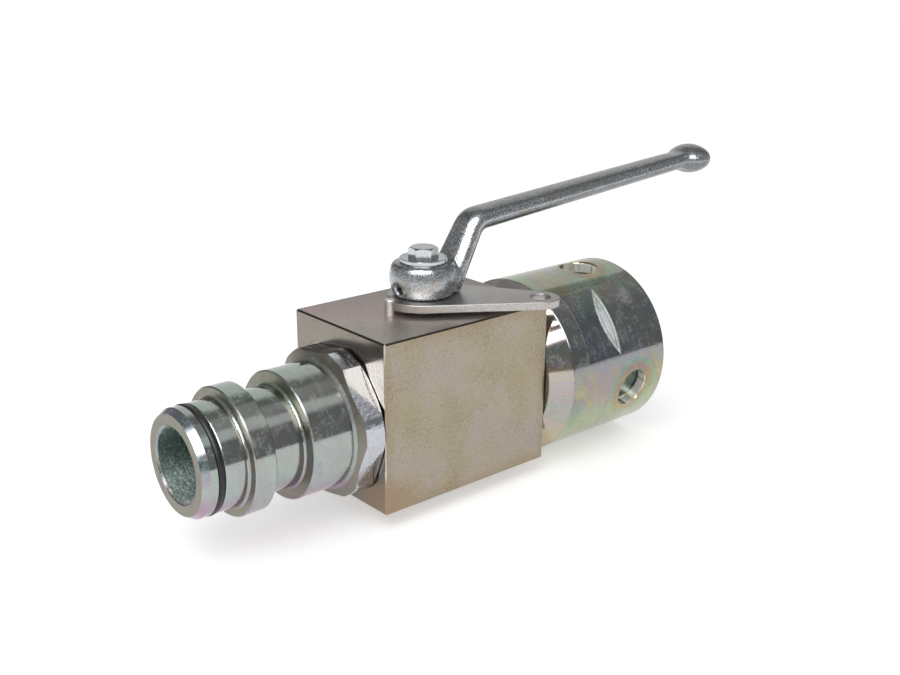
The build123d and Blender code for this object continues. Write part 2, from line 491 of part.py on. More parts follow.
with BuildPart() as lever:
    with BuildSketch(SIDE) as boss_outline:
        with BuildLine():
            Polyline((0, BOSS_Z), (BOSS_FOOT_R, BOSS_Z))
            ThreePointArc((BOSS_FOOT_R, BOSS_Z), (BOSS_BELLY_R, BOSS_Z + 0.46 * BOSS_H),
                          (BOSS_TOP_R + BOSS_ROUND, WASHER_Z - BOSS_ROUND))
            ThreePointArc((BOSS_TOP_R + BOSS_ROUND, WASHER_Z - BOSS_ROUND),
                          (BOSS_TOP_R + 0.707 * BOSS_ROUND, WASHER_Z - 0.293 * BOSS_ROUND),
                          (BOSS_TOP_R, WASHER_Z))
            Polyline((BOSS_TOP_R, WASHER_Z), (0, WASHER_Z), (0, BOSS_Z))
        make_face()
    revolve(boss_outline.sketch, axis=SPINDLE_AXIS)
    ARM_FOOT = (ARM_BASE_X - 1.5 * ARM_DIR[0], BOSS_Z - 1.5 * ARM_DIR[1])
    loft([lever_section(ARM_FOOT, ARM_DIR, ARM_W, ARM_T),
          lever_section(BEND_IN, ARM_DIR, BEND_W, BEND_T)])
    revolve(lever_section(BEND_IN, ARM_DIR, BEND_W, BEND_T),
            axis=Axis((BEND_MID[0], 0, BEND_MID[1]), (0, 1, 0)), revolution_arc=ARM_SLOPE - BAR_SLOPE)
    NECK = (KNOB_X - KNOB_R * BAR_DIR[0], BAR_END_Z - KNOB_R * BAR_DIR[1])
    loft([lever_section(BEND_OUT, BAR_DIR, BEND_W, BEND_T),
          lever_section(NECK, BAR_DIR, BAR_W, BAR_T)])
    loft([lever_section(NECK, BAR_DIR, BAR_W, BAR_T),
          lever_section((KNOB_X - 5, KNOB_Z - 5 * math.tan(BAR_RISE)), BAR_DIR, BAR_W + 5, BAR_T + 3.4)])
    KNOB_OUT = KNOB_R - KNOB_RIM_R
    KNOB_UP = KNOB_T / 2 - KNOB_RIM_R
    CAP_DROP = (KNOB_OUT ** 2 - KNOB_UP ** 2) / (2 * KNOB_UP)
    CAP_R = KNOB_T / 2 + CAP_DROP
    CAP_LEAN = math.atan(KNOB_OUT / CAP_DROP)
    CAP_EDGE = (CAP_R * math.sin(CAP_LEAN), CAP_R * math.cos(CAP_LEAN) - CAP_DROP)
    CAP_MID = (CAP_R * math.sin(CAP_LEAN / 2), CAP_R * math.cos(CAP_LEAN / 2) - CAP_DROP)
    with BuildSketch(Plane(origin=(KNOB_X, 0, KNOB_Z), x_dir=(1, 0, 0), z_dir=(0, -1, 0))) as knob_outline:
        with BuildLine():
            ThreePointArc((0, KNOB_T / 2), CAP_MID, CAP_EDGE)
            ThreePointArc(CAP_EDGE, (KNOB_R, 0), (CAP_EDGE[0], -CAP_EDGE[1]))
            ThreePointArc((CAP_EDGE[0], -CAP_EDGE[1]), (CAP_MID[0], -CAP_MID[1]), (0, -KNOB_T / 2))
            Line((0, -KNOB_T / 2), (0, KNOB_T / 2))
        make_face()
    revolve(knob_outline.sketch, axis=Axis((KNOB_X, 0, KNOB_Z), (0, 0, 1)))
    with BuildSketch(Plane.XY.offset(BOSS_Z)) as under_boss:
        Circle(2 * BEND_X)
    extrude(under_boss.sketch, amount=-ARM_T, mode=Mode.SUBTRACT)
    with BuildSketch(Plane.XY.offset(BOSS_Z)) as lever_square:
        Rectangle(SQUARE_AF + 2 * SQUARE_PLAY, SQUARE_AF + 2 * SQUARE_PLAY)
    extrude(lever_square.sketch, amount=BOSS_H + 1, mode=Mode.SUBTRACT)
    with BuildSketch(Plane(origin=(0, 0, GRUB_Z), x_dir=(0, 1, 0), z_dir=(-1, 0, 0))) as grub_hole:
        Circle(GRUB_R + TAP_PLAY)
    extrude(grub_hole.sketch, amount=BOSS_BELLY_R + 1, mode=Mode.SUBTRACT)
    with Locations(Plane(origin=(-BOSS_BELLY_R - 0.4, 0, GRUB_Z), x_dir=(0, 1, 0), z_dir=(1, 0, 0))):
        Cone(GRUB_R + GRUB_MOUTH + 0.9, GRUB_R, GRUB_MOUTH + 0.9,
             align=(Align.CENTER, Align.CENTER, Align.MIN), mode=Mode.SUBTRACT)

# Washer, screw and grub screw that hold the lever on the square
with BuildPart() as lever_washer:
    turn_spindle([(WASHER_HOLE_R, WASHER_Z), (WASHER_R, WASHER_Z), (WASHER_R, HEAD_Z - 0.25),
                  (WASHER_R - 0.25, HEAD_Z), (WASHER_HOLE_R, HEAD_Z)])

with BuildPart() as lever_screw:
    with BuildSketch(Plane.XY.offset(HEAD_Z)) as head:
        RegularPolygon(SCREW_AF / 2, 6, major_radius=False, rotation=SCREW_HEAD_TURN)
    extrude(head.sketch, amount=SCREW_HEAD)
    HEAD_DROP = (SCREW_AF / math.sqrt(3) - 0.47 * SCREW_AF) * math.tan(math.radians(30))
    turn_spindle([(0.47 * SCREW_AF, HEAD_Z + SCREW_HEAD + 1), (0.47 * SCREW_AF, HEAD_Z + SCREW_HEAD),
                  (SCREW_AF / math.sqrt(3), HEAD_Z + SCREW_HEAD - HEAD_DROP),
                  (SCREW_AF, HEAD_Z + SCREW_HEAD - HEAD_DROP), (SCREW_AF, HEAD_Z + SCREW_HEAD + 1)],
                 Mode.SUBTRACT)
    turn_spindle([(0, HEAD_Z - SCREW_LEN), (SCREW_R - 0.7, HEAD_Z - SCREW_LEN),
                  (SCREW_R, HEAD_Z - SCREW_LEN + 0.7), (SCREW_R, HEAD_Z), (0, HEAD_Z)])

with BuildPart() as grub_screw:
    with BuildSketch(Plane(origin=(-SQUARE_AF / 2, 0, GRUB_Z), x_dir=(0, 1, 0), z_dir=(-1, 0, 0))) as stem:
        Circle(GRUB_R)
    extrude(stem.sketch, amount=GRUB_LEN)
    chamfer(grub_screw.edges().sort_by(Axis.X)[0], 0.4)
    with BuildSketch(Plane(origin=(-SQUARE_AF / 2 - GRUB_LEN, 0, GRUB_Z), x_dir=(0, 1, 0),
                           z_dir=(1, 0, 0))) as key:
        RegularPolygon(GRUB_KEY_AF / 2, 6, major_radius=False)
    extrude(key.sketch, amount=2.5, mode=Mode.SUBTRACT)

# Union nut: flanged sleeve with an inside thread, two wrench flats and four tommy bar holes
with BuildPart() as union_nut:
    FLANGE_END = NUT_START + NUT_FLANGE_LEN
    THREAD_START = NUT_END - NUT_THREAD_LEN
    turn_flow([(NUT_START, NECK_R + NUT_RUN + 0.5), (NUT_START, NUT_R - NUT_LEAD),
               (NUT_START + NUT_LEAD - NUT_LEAD_BREAK, NUT_R - NUT_LEAD_BREAK),
               (NUT_START + NUT_LEAD + NUT_LEAD_BREAK, NUT_R), (NUT_END - 1.0, NUT_R), (NUT_END, NUT_R - 1.0),
               (NUT_END, NUT_THREAD_R + 1.8), (NUT_END - 1.8, NUT_THREAD_R), (THREAD_START, NUT_THREAD_R),
               (THREAD_START, NUT_THREAD_R + NUT_RELIEF_DEPTH),
               (THREAD_START - NUT_RELIEF_LEN, NUT_THREAD_R + NUT_RELIEF_DEPTH),
               (THREAD_START - NUT_RELIEF_LEN, NUT_THREAD_R), (FLANGE_END, NUT_THREAD_R),
               (FLANGE_END, NECK_R + NUT_RUN), (NUT_START + 0.5, NECK_R + NUT_RUN)])
    for turn_by in (0, 180):
        flat = math.radians(NUT_FLAT_AT + turn_by)
        facing = (0, math.cos(flat), math.sin(flat))
        flat_r = NUT_R - NUT_FLAT_CUT
        flat_plane = Plane(origin=(NUT_START + NUT_FLAT_START + NUT_FLAT_LEN / 2,
                                   facing[1] * flat_r, FLOW_H + facing[2] * flat_r),
                           x_dir=(1, 0, 0), z_dir=facing)
        with BuildSketch(flat_plane) as flat_area:
            Rectangle(NUT_FLAT_LEN, 2 * NUT_R)
        extrude(flat_area.sketch, amount=NUT_R, mode=Mode.SUBTRACT)
    for turn_by in (-NUT_HOLE_OFF, NUT_HOLE_OFF, 180 - NUT_HOLE_OFF, 180 + NUT_HOLE_OFF):
        hole = math.radians(NUT_FLAT_AT + turn_by)
        out = (0, math.cos(hole), math.sin(hole))
        point_len = NUT_HOLE_R / math.tan(math.radians(DRILL_POINT / 2))
        floor_r = NUT_R - NUT_HOLE_FULL
        hole_plane = Plane(origin=(NUT_START + NUT_HOLE_FROM_END, out[1] * floor_r, FLOW_H + out[2] * floor_r),
                           x_dir=(1, 0, 0), z_dir=out)
        with Locations(hole_plane):
            Cylinder(NUT_HOLE_R, 2 * NUT_HOLE_FULL, align=(Align.CENTER, Align.CENTER, Align.MIN),
                     mode=Mode.SUBTRACT)
            Cone(0, NUT_HOLE_R, point_len, align=(Align.CENTER, Align.CENTER, Align.MAX), mode=Mode.SUBTRACT)
        with Locations(hole_plane.offset(NUT_HOLE_FULL - NUT_HOLE_BREAK)):
            Cone(NUT_HOLE_R, NUT_HOLE_R + 3 * NUT_HOLE_BREAK, 3 * NUT_HOLE_BREAK,
                 align=(Align.CENTER, Align.CENTER, Align.MIN), mode=Mode.SUBTRACT)

# Every piece is written under its own name
os.makedirs("parts", exist_ok=True)
valve_block.part.label = "valve_block"
export_step(valve_block.part, "parts/valve_block.step")
stop_pin.part.label = "stop_pin"
export_step(stop_pin.part, "parts/stop_pin.step")
plug_adapter.part.label = "plug_adapter"
export_step(plug_adapter.part, "parts/plug_adapter.step")
plug_seal.part.label = "plug_seal"
export_step(plug_seal.part, "parts/plug_seal.step")
plug_port_seal.part.label = "plug_port_seal"
export_step(plug_port_seal.part, "parts/plug_port_seal.step")
tail_adapter.part.label = "tail_adapter"
export_step(tail_adapter.part, "parts/tail_adapter.step")
tail_port_seal.part.label = "tail_port_seal"
export_step(tail_port_seal.part, "parts/tail_port_seal.step")
seat_left.part.label = "seat_left"
export_step(seat_left.part, "parts/seat_left.step")
seat_right.part.label = "seat_right"
export_step(seat_right.part, "parts/seat_right.step")
seat_seals.part.label = "seat_seals"
export_step(seat_seals.part, "parts/seat_seals.step")
ball.part.label = "ball"
export_step(ball.part, "parts/ball.step")
spindle.part.label = "spindle"
export_step(spindle.part, "parts/spindle.step")
spindle_seals.part.label = "spindle_seals"
export_step(spindle_seals.part, "parts/spindle_seals.step")
thrust_washer.part.label = "thrust_washer"
export_step(thrust_washer.part, "parts/thrust_washer.step")
stop_plate.part.label = "stop_plate"
export_step(stop_plate.part, "parts/stop_plate.step")
lever.part.label = "lever"
export_step(lever.part, "parts/lever.step")
lever_washer.part.label = "lever_washer"
export_step(lever_washer.part, "parts/lever_washer.step")
lever_screw.part.label = "lever_screw"
export_step(lever_screw.part, "parts/lever_screw.step")
grub_screw.part.label = "grub_screw"
export_step(grub_screw.part, "parts/grub_screw.step")
union_nut.part.label = "union_nut"
export_step(union_nut.part, "parts/union_nut.step")
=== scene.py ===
# %% [markdown]
# A lockable ball valve for high pressure oil, photographed on a white table. The measured model
# comes in first, as a fixed frame: every piece already stands in its place, in metres, with +X along
# the flow, +Z up the spindle and the origin in the middle of the block's base. What is left to do
# here is how the metal looks. Zinc plate is a mirror that has been through a machine shop: its colour
# is what it reflects, so the studio around it matters as much as the paint on it.

# %% The measured model
import math
from types import SimpleNamespace

import bmesh
import bpy
from mathutils import Matrix, Vector


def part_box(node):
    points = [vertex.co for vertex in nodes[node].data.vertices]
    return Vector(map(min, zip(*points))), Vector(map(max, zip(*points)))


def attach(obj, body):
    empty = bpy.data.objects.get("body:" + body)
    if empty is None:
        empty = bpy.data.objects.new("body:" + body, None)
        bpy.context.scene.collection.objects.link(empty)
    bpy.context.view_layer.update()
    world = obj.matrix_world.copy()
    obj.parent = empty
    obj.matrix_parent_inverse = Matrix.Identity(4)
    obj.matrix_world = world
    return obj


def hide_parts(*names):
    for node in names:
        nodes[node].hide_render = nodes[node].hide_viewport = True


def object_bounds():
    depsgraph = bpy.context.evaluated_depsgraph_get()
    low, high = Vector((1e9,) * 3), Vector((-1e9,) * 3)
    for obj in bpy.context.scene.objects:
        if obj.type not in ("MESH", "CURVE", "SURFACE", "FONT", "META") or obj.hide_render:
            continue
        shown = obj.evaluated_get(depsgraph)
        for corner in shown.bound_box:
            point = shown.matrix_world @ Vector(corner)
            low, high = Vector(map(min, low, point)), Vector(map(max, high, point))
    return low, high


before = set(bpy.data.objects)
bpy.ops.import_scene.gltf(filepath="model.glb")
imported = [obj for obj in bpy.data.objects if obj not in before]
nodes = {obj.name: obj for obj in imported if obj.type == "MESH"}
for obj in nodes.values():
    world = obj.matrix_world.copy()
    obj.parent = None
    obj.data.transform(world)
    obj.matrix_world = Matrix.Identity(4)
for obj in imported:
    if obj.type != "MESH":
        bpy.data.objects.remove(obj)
cad_low, cad_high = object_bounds()
print("pieces in the frame:", len(nodes))
print("size in mm:", [round(1000 * (b - a), 1) for a, b in zip(cad_low, cad_high)])

# %% [markdown]
# Colours are written as the hex values that a colour picker shows. The shader wants linear light, so
# one function turns them. Another adds a node to a material with its settings and its links, which
# keeps each material down to one readable line a node.

# %% Colours and nodes
MM = 0.001
FLOW_H = 0.040             # flow axis above the base, where the turned parts have their centre


def linear(code, alpha=1.0):
    """Turn an sRGB hex value into the linear colour that a shader takes."""
    parts = [int(code[i:i + 2], 16) / 255 for i in (1, 3, 5)]
    return tuple(c / 12.92 if c <= 0.04045 else ((c + 0.055) / 1.055) ** 2.4 for c in parts) + (alpha,)


def add(tree, kind, inputs=(), stops=(), **settings):
    """Add a node with its settings, its ramp's stops, and its inputs, by name or in their order.

    A kind without "Node" in it is a shader node's. An input is a value, a hex colour, a socket, or
    another node, which stands for its first output in use. So a Map Range takes its value, the two
    ends that it comes from and, where they aren't 0 and 1, the two that it goes to.
    """
    made = tree.nodes.new(kind if "Node" in kind else "ShaderNode" + kind)
    for name, value in settings.items():
        setattr(made, name, value)
    for key, value in inputs.items() if isinstance(inputs, dict) else enumerate(inputs):
        if isinstance(value, bpy.types.Node):
            value = next(socket for socket in value.outputs if socket.enabled)
        if isinstance(value, bpy.types.NodeSocket):
            tree.links.new(value, made.inputs[key])
        else:
            made.inputs[key].default_value = linear(value) if isinstance(value, str) else value
    for place, (position, colour) in enumerate(stops):
        ramp = made.color_ramp.elements
        stop = ramp[place] if place < 2 else ramp.new(position)
        stop.position = position
        stop.color = linear(colour) if isinstance(colour, str) else (colour, colour, colour, 1)
    return made


print("white in linear light:", linear("#ffffff")[:3])

# %% [markdown]
# The photograph was taken from the plug's end, a little above the block, at about 49 degrees to the
# flow. Its camera was found by fitting the corners of the block, the turned rings and the lever to
# their places in the picture, so a long lens stands about 0.6 m away, level to half a degree.

# %% The camera
camera_data = bpy.data.cameras.new("photo_camera")
camera_data.sensor_width = 36
camera_data.lens = 44.776
camera_data.clip_start = 0.02
camera_data.clip_end = 60
camera = bpy.data.objects.new("photo_camera", camera_data)
right = Vector((0.75564733, -0.6549221, 0.008611323))
up = Vector((0.2020765, 0.245621121, 0.948069276))
back = Vector((-0.623026645, -0.714665871, 0.317947311))
camera.matrix_world = (Matrix.Translation((-0.343188, -0.414263, 0.2495835))
                       @ Matrix((right, up, back)).transposed().to_4x4())
bpy.context.scene.collection.objects.link(camera)
bpy.context.scene.camera = camera
bpy.context.scene.view_settings.view_transform = "Standard"
print("camera stands", round(camera.matrix_world.translation.length, 3), "m from the base")

# %% [markdown]
# The floor is a white photo table. It is lit like anything else, so the valve's soft shadow stays,
# and it gives a little light of its own to rays from the camera and from the metal, which is what
# keeps an empty white table white. It ends a metre away, as a table does: the line where the white
# stops is the sharp line that runs along the lower third of every turned part.

# %% The table
FLOOR_Z = cad_low.z - 0.2 * MM
TABLE_R = 1.15
SIDES = 96
TABLE_GLOW = 0.42          # light of its own, for rays that see it directly or in metal

floor_mesh = bpy.data.meshes.new("photo_table")
rim = [(TABLE_R * math.cos(math.tau * i / SIDES), TABLE_R * math.sin(math.tau * i / SIDES), FLOOR_Z)
       for i in range(SIDES)]
floor_mesh.from_pydata(rim, [], [list(range(SIDES))])
floor = bpy.data.objects.new("photo_table", floor_mesh)
bpy.context.scene.collection.objects.link(floor)

white_table = bpy.data.materials.new("white photo table, matt laminate")
white_table.use_nodes = True
tree = white_table.node_tree
tree.nodes.clear()
rays = add(tree, "LightPath")
seen = add(tree, "Math", (rays.outputs["Is Camera Ray"], rays.outputs["Is Glossy Ray"]), operation="ADD")
seen = add(tree, "Math", (seen, rays.outputs["Is Transmission Ray"]), operation="ADD", use_clamp=True)
lift = add(tree, "Math", (seen, TABLE_GLOW), operation="MULTIPLY")
matt = add(tree, "BsdfDiffuse", {"Color": "#e6e6e6"})
glow = add(tree, "Emission", {"Color": "#ffffff", "Strength": lift})
both = add(tree, "AddShader", (matt, glow))
add(tree, "OutputMaterial", {"Surface": both})
floor.data.materials.append(white_table)
print("table at", round(FLOOR_Z / MM, 1), "mm")

# %% [markdown]
# The studio is a world that depends on who looks. The camera sees plain white. Matt things get an
# even white light. Metal sees the room: dark above the table's edge, a big soft box over the
# photographer's left shoulder, two dim ones high on the right, a pale wall behind the valve and a dim
# ceiling. Each is a rectangle in azimuth and elevation with soft edges, read off the bright and dark
# bands on the turned parts, whose slope at each point says which way its reflection leaves.

# %% The studio
world = bpy.data.worlds.new("studio")
bpy.context.scene.world = world
world.use_nodes = True
tree = world.node_tree
tree.nodes.clear()
look = add(tree, "TexCoord")
way = add(tree, "SeparateXYZ", (look.outputs["Generated"],))
azimuth = add(tree, "Math", (way.outputs["Y"], way.outputs["X"]), operation="ARCTAN2")
elevation = add(tree, "Math", (way.outputs["Z"],), operation="ARCSINE")

# azimuth and elevation of the middle, half width, half height, soft edge in degrees, brightness
PANELS = [
    (-140, 50, 40, 23, 3, 6.0),
    (-46, 48, 14, 8, 8, 0.60),
    (-16, 62, 30, 7, 10, 0.20),
    (46, 18, 27, 31, 12, 0.62),
    (0, 90, 400, 16, 8, 0.40),
]
ROOM = 0.25                # brightness of the rest of the room
MATT_LOSS = 0.28           # matt things get this much less than the camera sees


def band(angle, middle, half, soft):
    """Node that is 1 where an angle is within half of the middle, falling to 0 over a soft edge."""
    turned = add(tree, "Math", (angle, math.radians(middle)), operation="SUBTRACT")
    wrapped = add(tree, "Math", (turned, math.pi, -math.pi), operation="WRAP")
    off = add(tree, "Math", (wrapped,), operation="ABSOLUTE")
    return add(tree, "MapRange", (off, math.radians(half + soft / 2), math.radians(half - soft / 2)),
               interpolation_type="SMOOTHSTEP")


total = None
for middle, height, half_wide, half_tall, soft, bright in PANELS:
    wide = band(azimuth, middle, half_wide, soft)
    tall = band(elevation, height, half_tall, soft)
    panel = add(tree, "Math", (wide, tall), operation="MULTIPLY")
    total = add(tree, "Math", (panel, bright, total or ROOM), operation="MULTIPLY_ADD")
rays = add(tree, "LightPath")
plain = add(tree, "Math", (rays.outputs["Is Diffuse Ray"], -MATT_LOSS, 1.0), operation="MULTIPLY_ADD")
strength = add(tree, "Mix", {"Factor": rays.outputs["Is Glossy Ray"], "A": plain, "B": total})
light = add(tree, "Background", {"Color": "#ffffff", "Strength": strength})
add(tree, "OutputWorld", {"Surface": light})
print("soft boxes and walls in the studio:", len(PANELS))

# %% [markdown]
# One large lamp over the photographer's shoulder gives the shadow on the table its direction. It is
# broad and weak, and metal doesn't see it, because its bright patch is already in the world.

# %% The lamp
lamp_data = bpy.data.lights.new("soft_box", "AREA")
lamp_data.shape = "RECTANGLE"
lamp_data.size = 0.9
lamp_data.size_y = 0.7
lamp_data.energy = 5.0
lamp = bpy.data.objects.new("soft_box", lamp_data)
aim = Vector((0.03, 0.0, 0.05))
lamp.location = aim + Vector((-0.75, -0.35, 0.95))
lamp.rotation_mode = "QUATERNION"
lamp.rotation_quaternion = (lamp.location - aim).to_track_quat("Z", "Y")
lamp.visible_glossy = False
bpy.context.scene.collection.objects.link(lamp)
print("lamp is", round((lamp.location - aim).length, 2), "m away")

# %% [markdown]
# Every finish starts from a few facts about the piece: where a point is, how far it lies from the
# axis that the piece was turned about, and in which direction. A lathe leaves its marks around the
# axis, so a noise that changes fast with the station or the radius and slowly on the way round reads
# as turning marks, on cylinders and on end faces alike. What reaches the eye is four things: colour,
# dullness, the share of bare metal, and height. They are kept in one look, and a zone, such as a
# chamfer or a bore, lays its own over them.

# %% Starting and closing a material
def start(name):
    """New material with an empty tree, and its object coordinates."""
    made = bpy.data.materials.new(name)
    made.use_nodes = True
    made.node_tree.nodes.clear()
    place = add(made.node_tree, "TexCoord")
    return made, made.node_tree, place.outputs["Object"]


def cover(tree, look, zones, blend="MIX", **over):
    """Lay another colour, dullness or share of metal over the look where all the zones meet."""
    share = zones[0]
    for zone in zones[1:]:
        share = add(tree, "Math", (share, zone), operation="MULTIPLY")
    for part, value in over.items():
        look[part] = add(tree, "Mix", {"Factor": share, "A": look[part], "B": value},
                         data_type="RGBA" if part == "colour" else "FLOAT", blend_type=blend)


def close(made, tree, look):
    """End a material: the look goes into one shader, with its height, in metres, as a bump."""
    bump = add(tree, "Bump", {"Height": look["height"], "Strength": 1.0, "Distance": 1.0})
    shader = add(tree, "BsdfPrincipled", {"Base Color": look["colour"], "Metallic": look["metal"],
                                          "Roughness": look["dull"], "Normal": bump})
    add(tree, "OutputMaterial", {"Surface": shader})
    return made


def about_axis(tree, place, axis):
    """Facts about a point on a turned piece, and the way in which it and the skin there face."""
    centre = (0, 0, FLOW_H) if axis == "X" else (0, 0, 0)
    across = (0, 1, 1) if axis == "X" else (1, 1, 0)
    high, wide = ("Z", "Y") if axis == "X" else ("Y", "X")
    at = SimpleNamespace(place=place, along=(1, 0, 0) if axis == "X" else (0, 0, 1))
    at.moved = add(tree, "VectorMath", (place, centre), operation="SUBTRACT")
    spoke = add(tree, "VectorMath", (at.moved, across), operation="MULTIPLY")
    at.radius = add(tree, "VectorMath", (spoke,), operation="LENGTH")
    at.facing = add(tree, "VectorMath", (spoke,), operation="NORMALIZE")
    way = add(tree, "SeparateXYZ", (at.facing,)).outputs
    at.up = way["Z"]
    at.angle = add(tree, "Math", (way[high], way[wide]), operation="ARCTAN2")
    at.x = add(tree, "SeparateXYZ", (at.moved,)).outputs["X"]
    at.tilt = add(tree, "SeparateXYZ", (add(tree, "NewGeometry").outputs["Normal"],)).outputs["X"]
    return at


def lathe_marks(tree, at, grain, wander):
    """Coordinates for turning marks: one step per grain across them, slow along them."""
    station = add(tree, "VectorMath", (at.moved, at.along), operation="DOT_PRODUCT")
    cross = add(tree, "Math", (station, at.radius), operation="ADD")
    steps = add(tree, "VectorMath", {0: tuple(v / grain for v in at.along), "Scale": cross},
                operation="SCALE")
    return add(tree, "VectorMath", (at.facing, (wander, wander, wander), steps),
               operation="MULTIPLY_ADD")


print("helpers for finishes are ready")

# %% [markdown]
# The plug, the tail adapter and the nut are free cutting steel, turned, zinc plated and passivated.
# The passivation film is a few hundred nanometres thick and shows it as a pale colour, like oil on
# water: green above, going to pink and violet underneath, where the bath drained last. On the nut the
# film is thicker, so its colours run in contour lines, with rings around the drilled holes. A ramp by
# direction gives the colour of each side, and a noise whose value goes through a ramp again and again
# gives the contours.

# %% Colours of the passivation film
nut_low, nut_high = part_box("union_nut")
HOLE_X = nut_high.x - 24.3 * MM      # spanner holes, from the nut's open end
SLANTS = ((85, 0, 50), (-16, 0, 27), (0, 31, 0))     # waves a metre: contours lean across the nut
HALO = [(0.0, "#fff3c4"), (0.22, "#ffe9cf"), (0.42, "#fbdfe2"), (0.66, "#ddf6e6"), (1.0, "#ffffff")]


def film_colour(tree, at, round_film, tints, contours, holes, calm):
    """Colour by direction, times a tint that runs in contours, with a halo round each drilled hole."""
    cloud = add(tree, "TexNoise", {"Vector": at.place, "Scale": 1 / (20 * MM), "Detail": 4.0,
                                   "Roughness": 0.55, "Distortion": 0.5})
    drift = add(tree, "Math", (cloud, 0.28, -0.14), operation="MULTIPLY_ADD")
    turn = add(tree, "Math", (at.angle, 1 / math.tau, drift), operation="MULTIPLY_ADD")
    whole = add(tree, "Math", (turn, 1.0, 0.0), operation="WRAP")
    film = add(tree, "ValToRGB", (whole,), stops=round_film)
    lean = add(tree, "CombineXYZ", [add(tree, "VectorMath", (at.moved, slant), operation="DOT_PRODUCT")
                                    for slant in SLANTS])
    runs = add(tree, "TexNoise", {"Vector": lean, "Scale": 1.0, "Detail": 3.5, "Roughness": 0.5,
                                  "Distortion": 0.7})
    phase = add(tree, "Math", (runs, contours), operation="MULTIPLY")
    at.mouths = []
    for direction in holes:
        line = (0, -math.sin(math.radians(direction)), math.cos(math.radians(direction)))
        aside = add(tree, "VectorMath", (at.moved, line), operation="DOT_PRODUCT")
        ahead = add(tree, "Math", (at.x, HOLE_X), operation="SUBTRACT")
        flat = add(tree, "CombineXYZ", (aside, ahead))
        off = add(tree, "VectorMath", (flat,), operation="LENGTH")
        at.mouths.append((flat, off))
        rings = add(tree, "MapRange", (off, 11 * MM, 21 * MM, 1.0, 0.0), interpolation_type="SMOOTHSTEP")
        phase = add(tree, "Math", (phase, rings), operation="ADD")
    cycle = add(tree, "Math", (phase, 1.0, 0.0), operation="WRAP")
    tint = add(tree, "ValToRGB", (cycle,), stops=tints)
    for flat, off in at.mouths:
        reach = add(tree, "Math", (runs, 8 * MM, off), operation="MULTIPLY_ADD")
        ring = add(tree, "MapRange", (reach, 14.5 * MM, 23 * MM))
        halo = add(tree, "ValToRGB", (ring,), stops=HALO)
        tint = add(tree, "VectorMath", (tint, halo), operation="MULTIPLY")
    upper = add(tree, "MapRange", (at.up, 0.05, 0.22, 0.0, calm))
    at.above = add(tree, "MapRange", (at.up, 0.66, 0.93), interpolation_type="SMOOTHSTEP")
    calmed = add(tree, "Math", (at.above, -calm, upper), operation="MULTIPLY_ADD", use_clamp=True)
    at.tint = add(tree, "Mix", {"Factor": calmed, "A": tint, "B": "#f4f6fa"}, data_type="RGBA")
    return add(tree, "VectorMath", (film, at.tint), operation="MULTIPLY")


print("spanner holes are", round((nut_high.x - HOLE_X) / MM, 1), "mm from the nut's open end")

# %% [markdown]
# Between the colours the plate is a mirror with a bloom on it. Patches and turning marks where it is
# duller pick up light from all round, and that is the mottling in the dark bands. Here and there a
# white dust of zinc salts hides the metal. A feed of about 0.1 mm a turn is usual and is too fine to
# show at this distance, so the marks are drawn at 0.32 mm and the brushing at 1.1 mm.

# %% Bloom, turning marks and dust
FEED = 0.32 * MM
BRUSH = 1.1 * MM


def bloom_and_dust(tree, at, look, bloom, brushing, dust, bloom_above):
    """Mottle the gloss along the turning marks, and let the dust of zinc salts hide some metal."""
    at.lines = add(tree, "TexNoise", {"Vector": lathe_marks(tree, at, FEED, 2.2), "Scale": 1.0,
                                      "Detail": 3.0, "Roughness": 0.65})
    mottle = add(tree, "TexNoise", {"Vector": at.place, "Scale": 1 / (2.2 * MM), "Detail": 6.0,
                                    "Roughness": 0.72})
    shade = add(tree, "MapRange", (mottle, 0.34, 0.50, 0.93, 1.0))
    look["colour"] = add(tree, "VectorMath", (look["colour"], shade), operation="MULTIPLY")
    streaks = add(tree, "MapRange", (at.lines, 0.46, 0.72, 0.0, 0.5))
    blots = add(tree, "MapRange", (mottle, 0.44, 0.62, 0.0, bloom))
    haze = add(tree, "Math", (streaks, blots), operation="MAXIMUM")
    look["dull"] = add(tree, "Math", (haze, 0.20, 0.06), operation="MULTIPLY_ADD")
    at.specks = add(tree, "TexNoise", {"Vector": at.place, "Scale": 1 / (1.3 * MM), "Detail": 4.0,
                                       "Roughness": 0.75})
    at.smear = add(tree, "TexNoise", {"Vector": at.place, "Scale": 1 / (9 * MM), "Detail": 4.0,
                                      "Roughness": 0.6, "Distortion": 0.6})
    brushed = add(tree, "TexNoise", {"Vector": lathe_marks(tree, at, BRUSH, 1.6), "Scale": 1.0,
                                     "Detail": 3.0, "Roughness": 0.6})
    salts = add(tree, "Math", (brushed, brushing, at.specks), operation="MULTIPLY_ADD")
    salts = add(tree, "Math", (at.smear, 1.2, salts), operation="MULTIPLY_ADD")
    middle = 1.1 + brushing / 2      # mean of the three noises in that sum
    metal = add(tree, "MapRange", (salts, middle + 0.02, middle + 0.45, 1.0, 1.0 - dust))
    look["metal"] = add(tree, "Math", (at.above, -bloom_above, metal), operation="MULTIPLY_ADD",
                        use_clamp=True)
    look["height"] = add(tree, "Math", (at.lines, 0.006 * MM), operation="MULTIPLY")


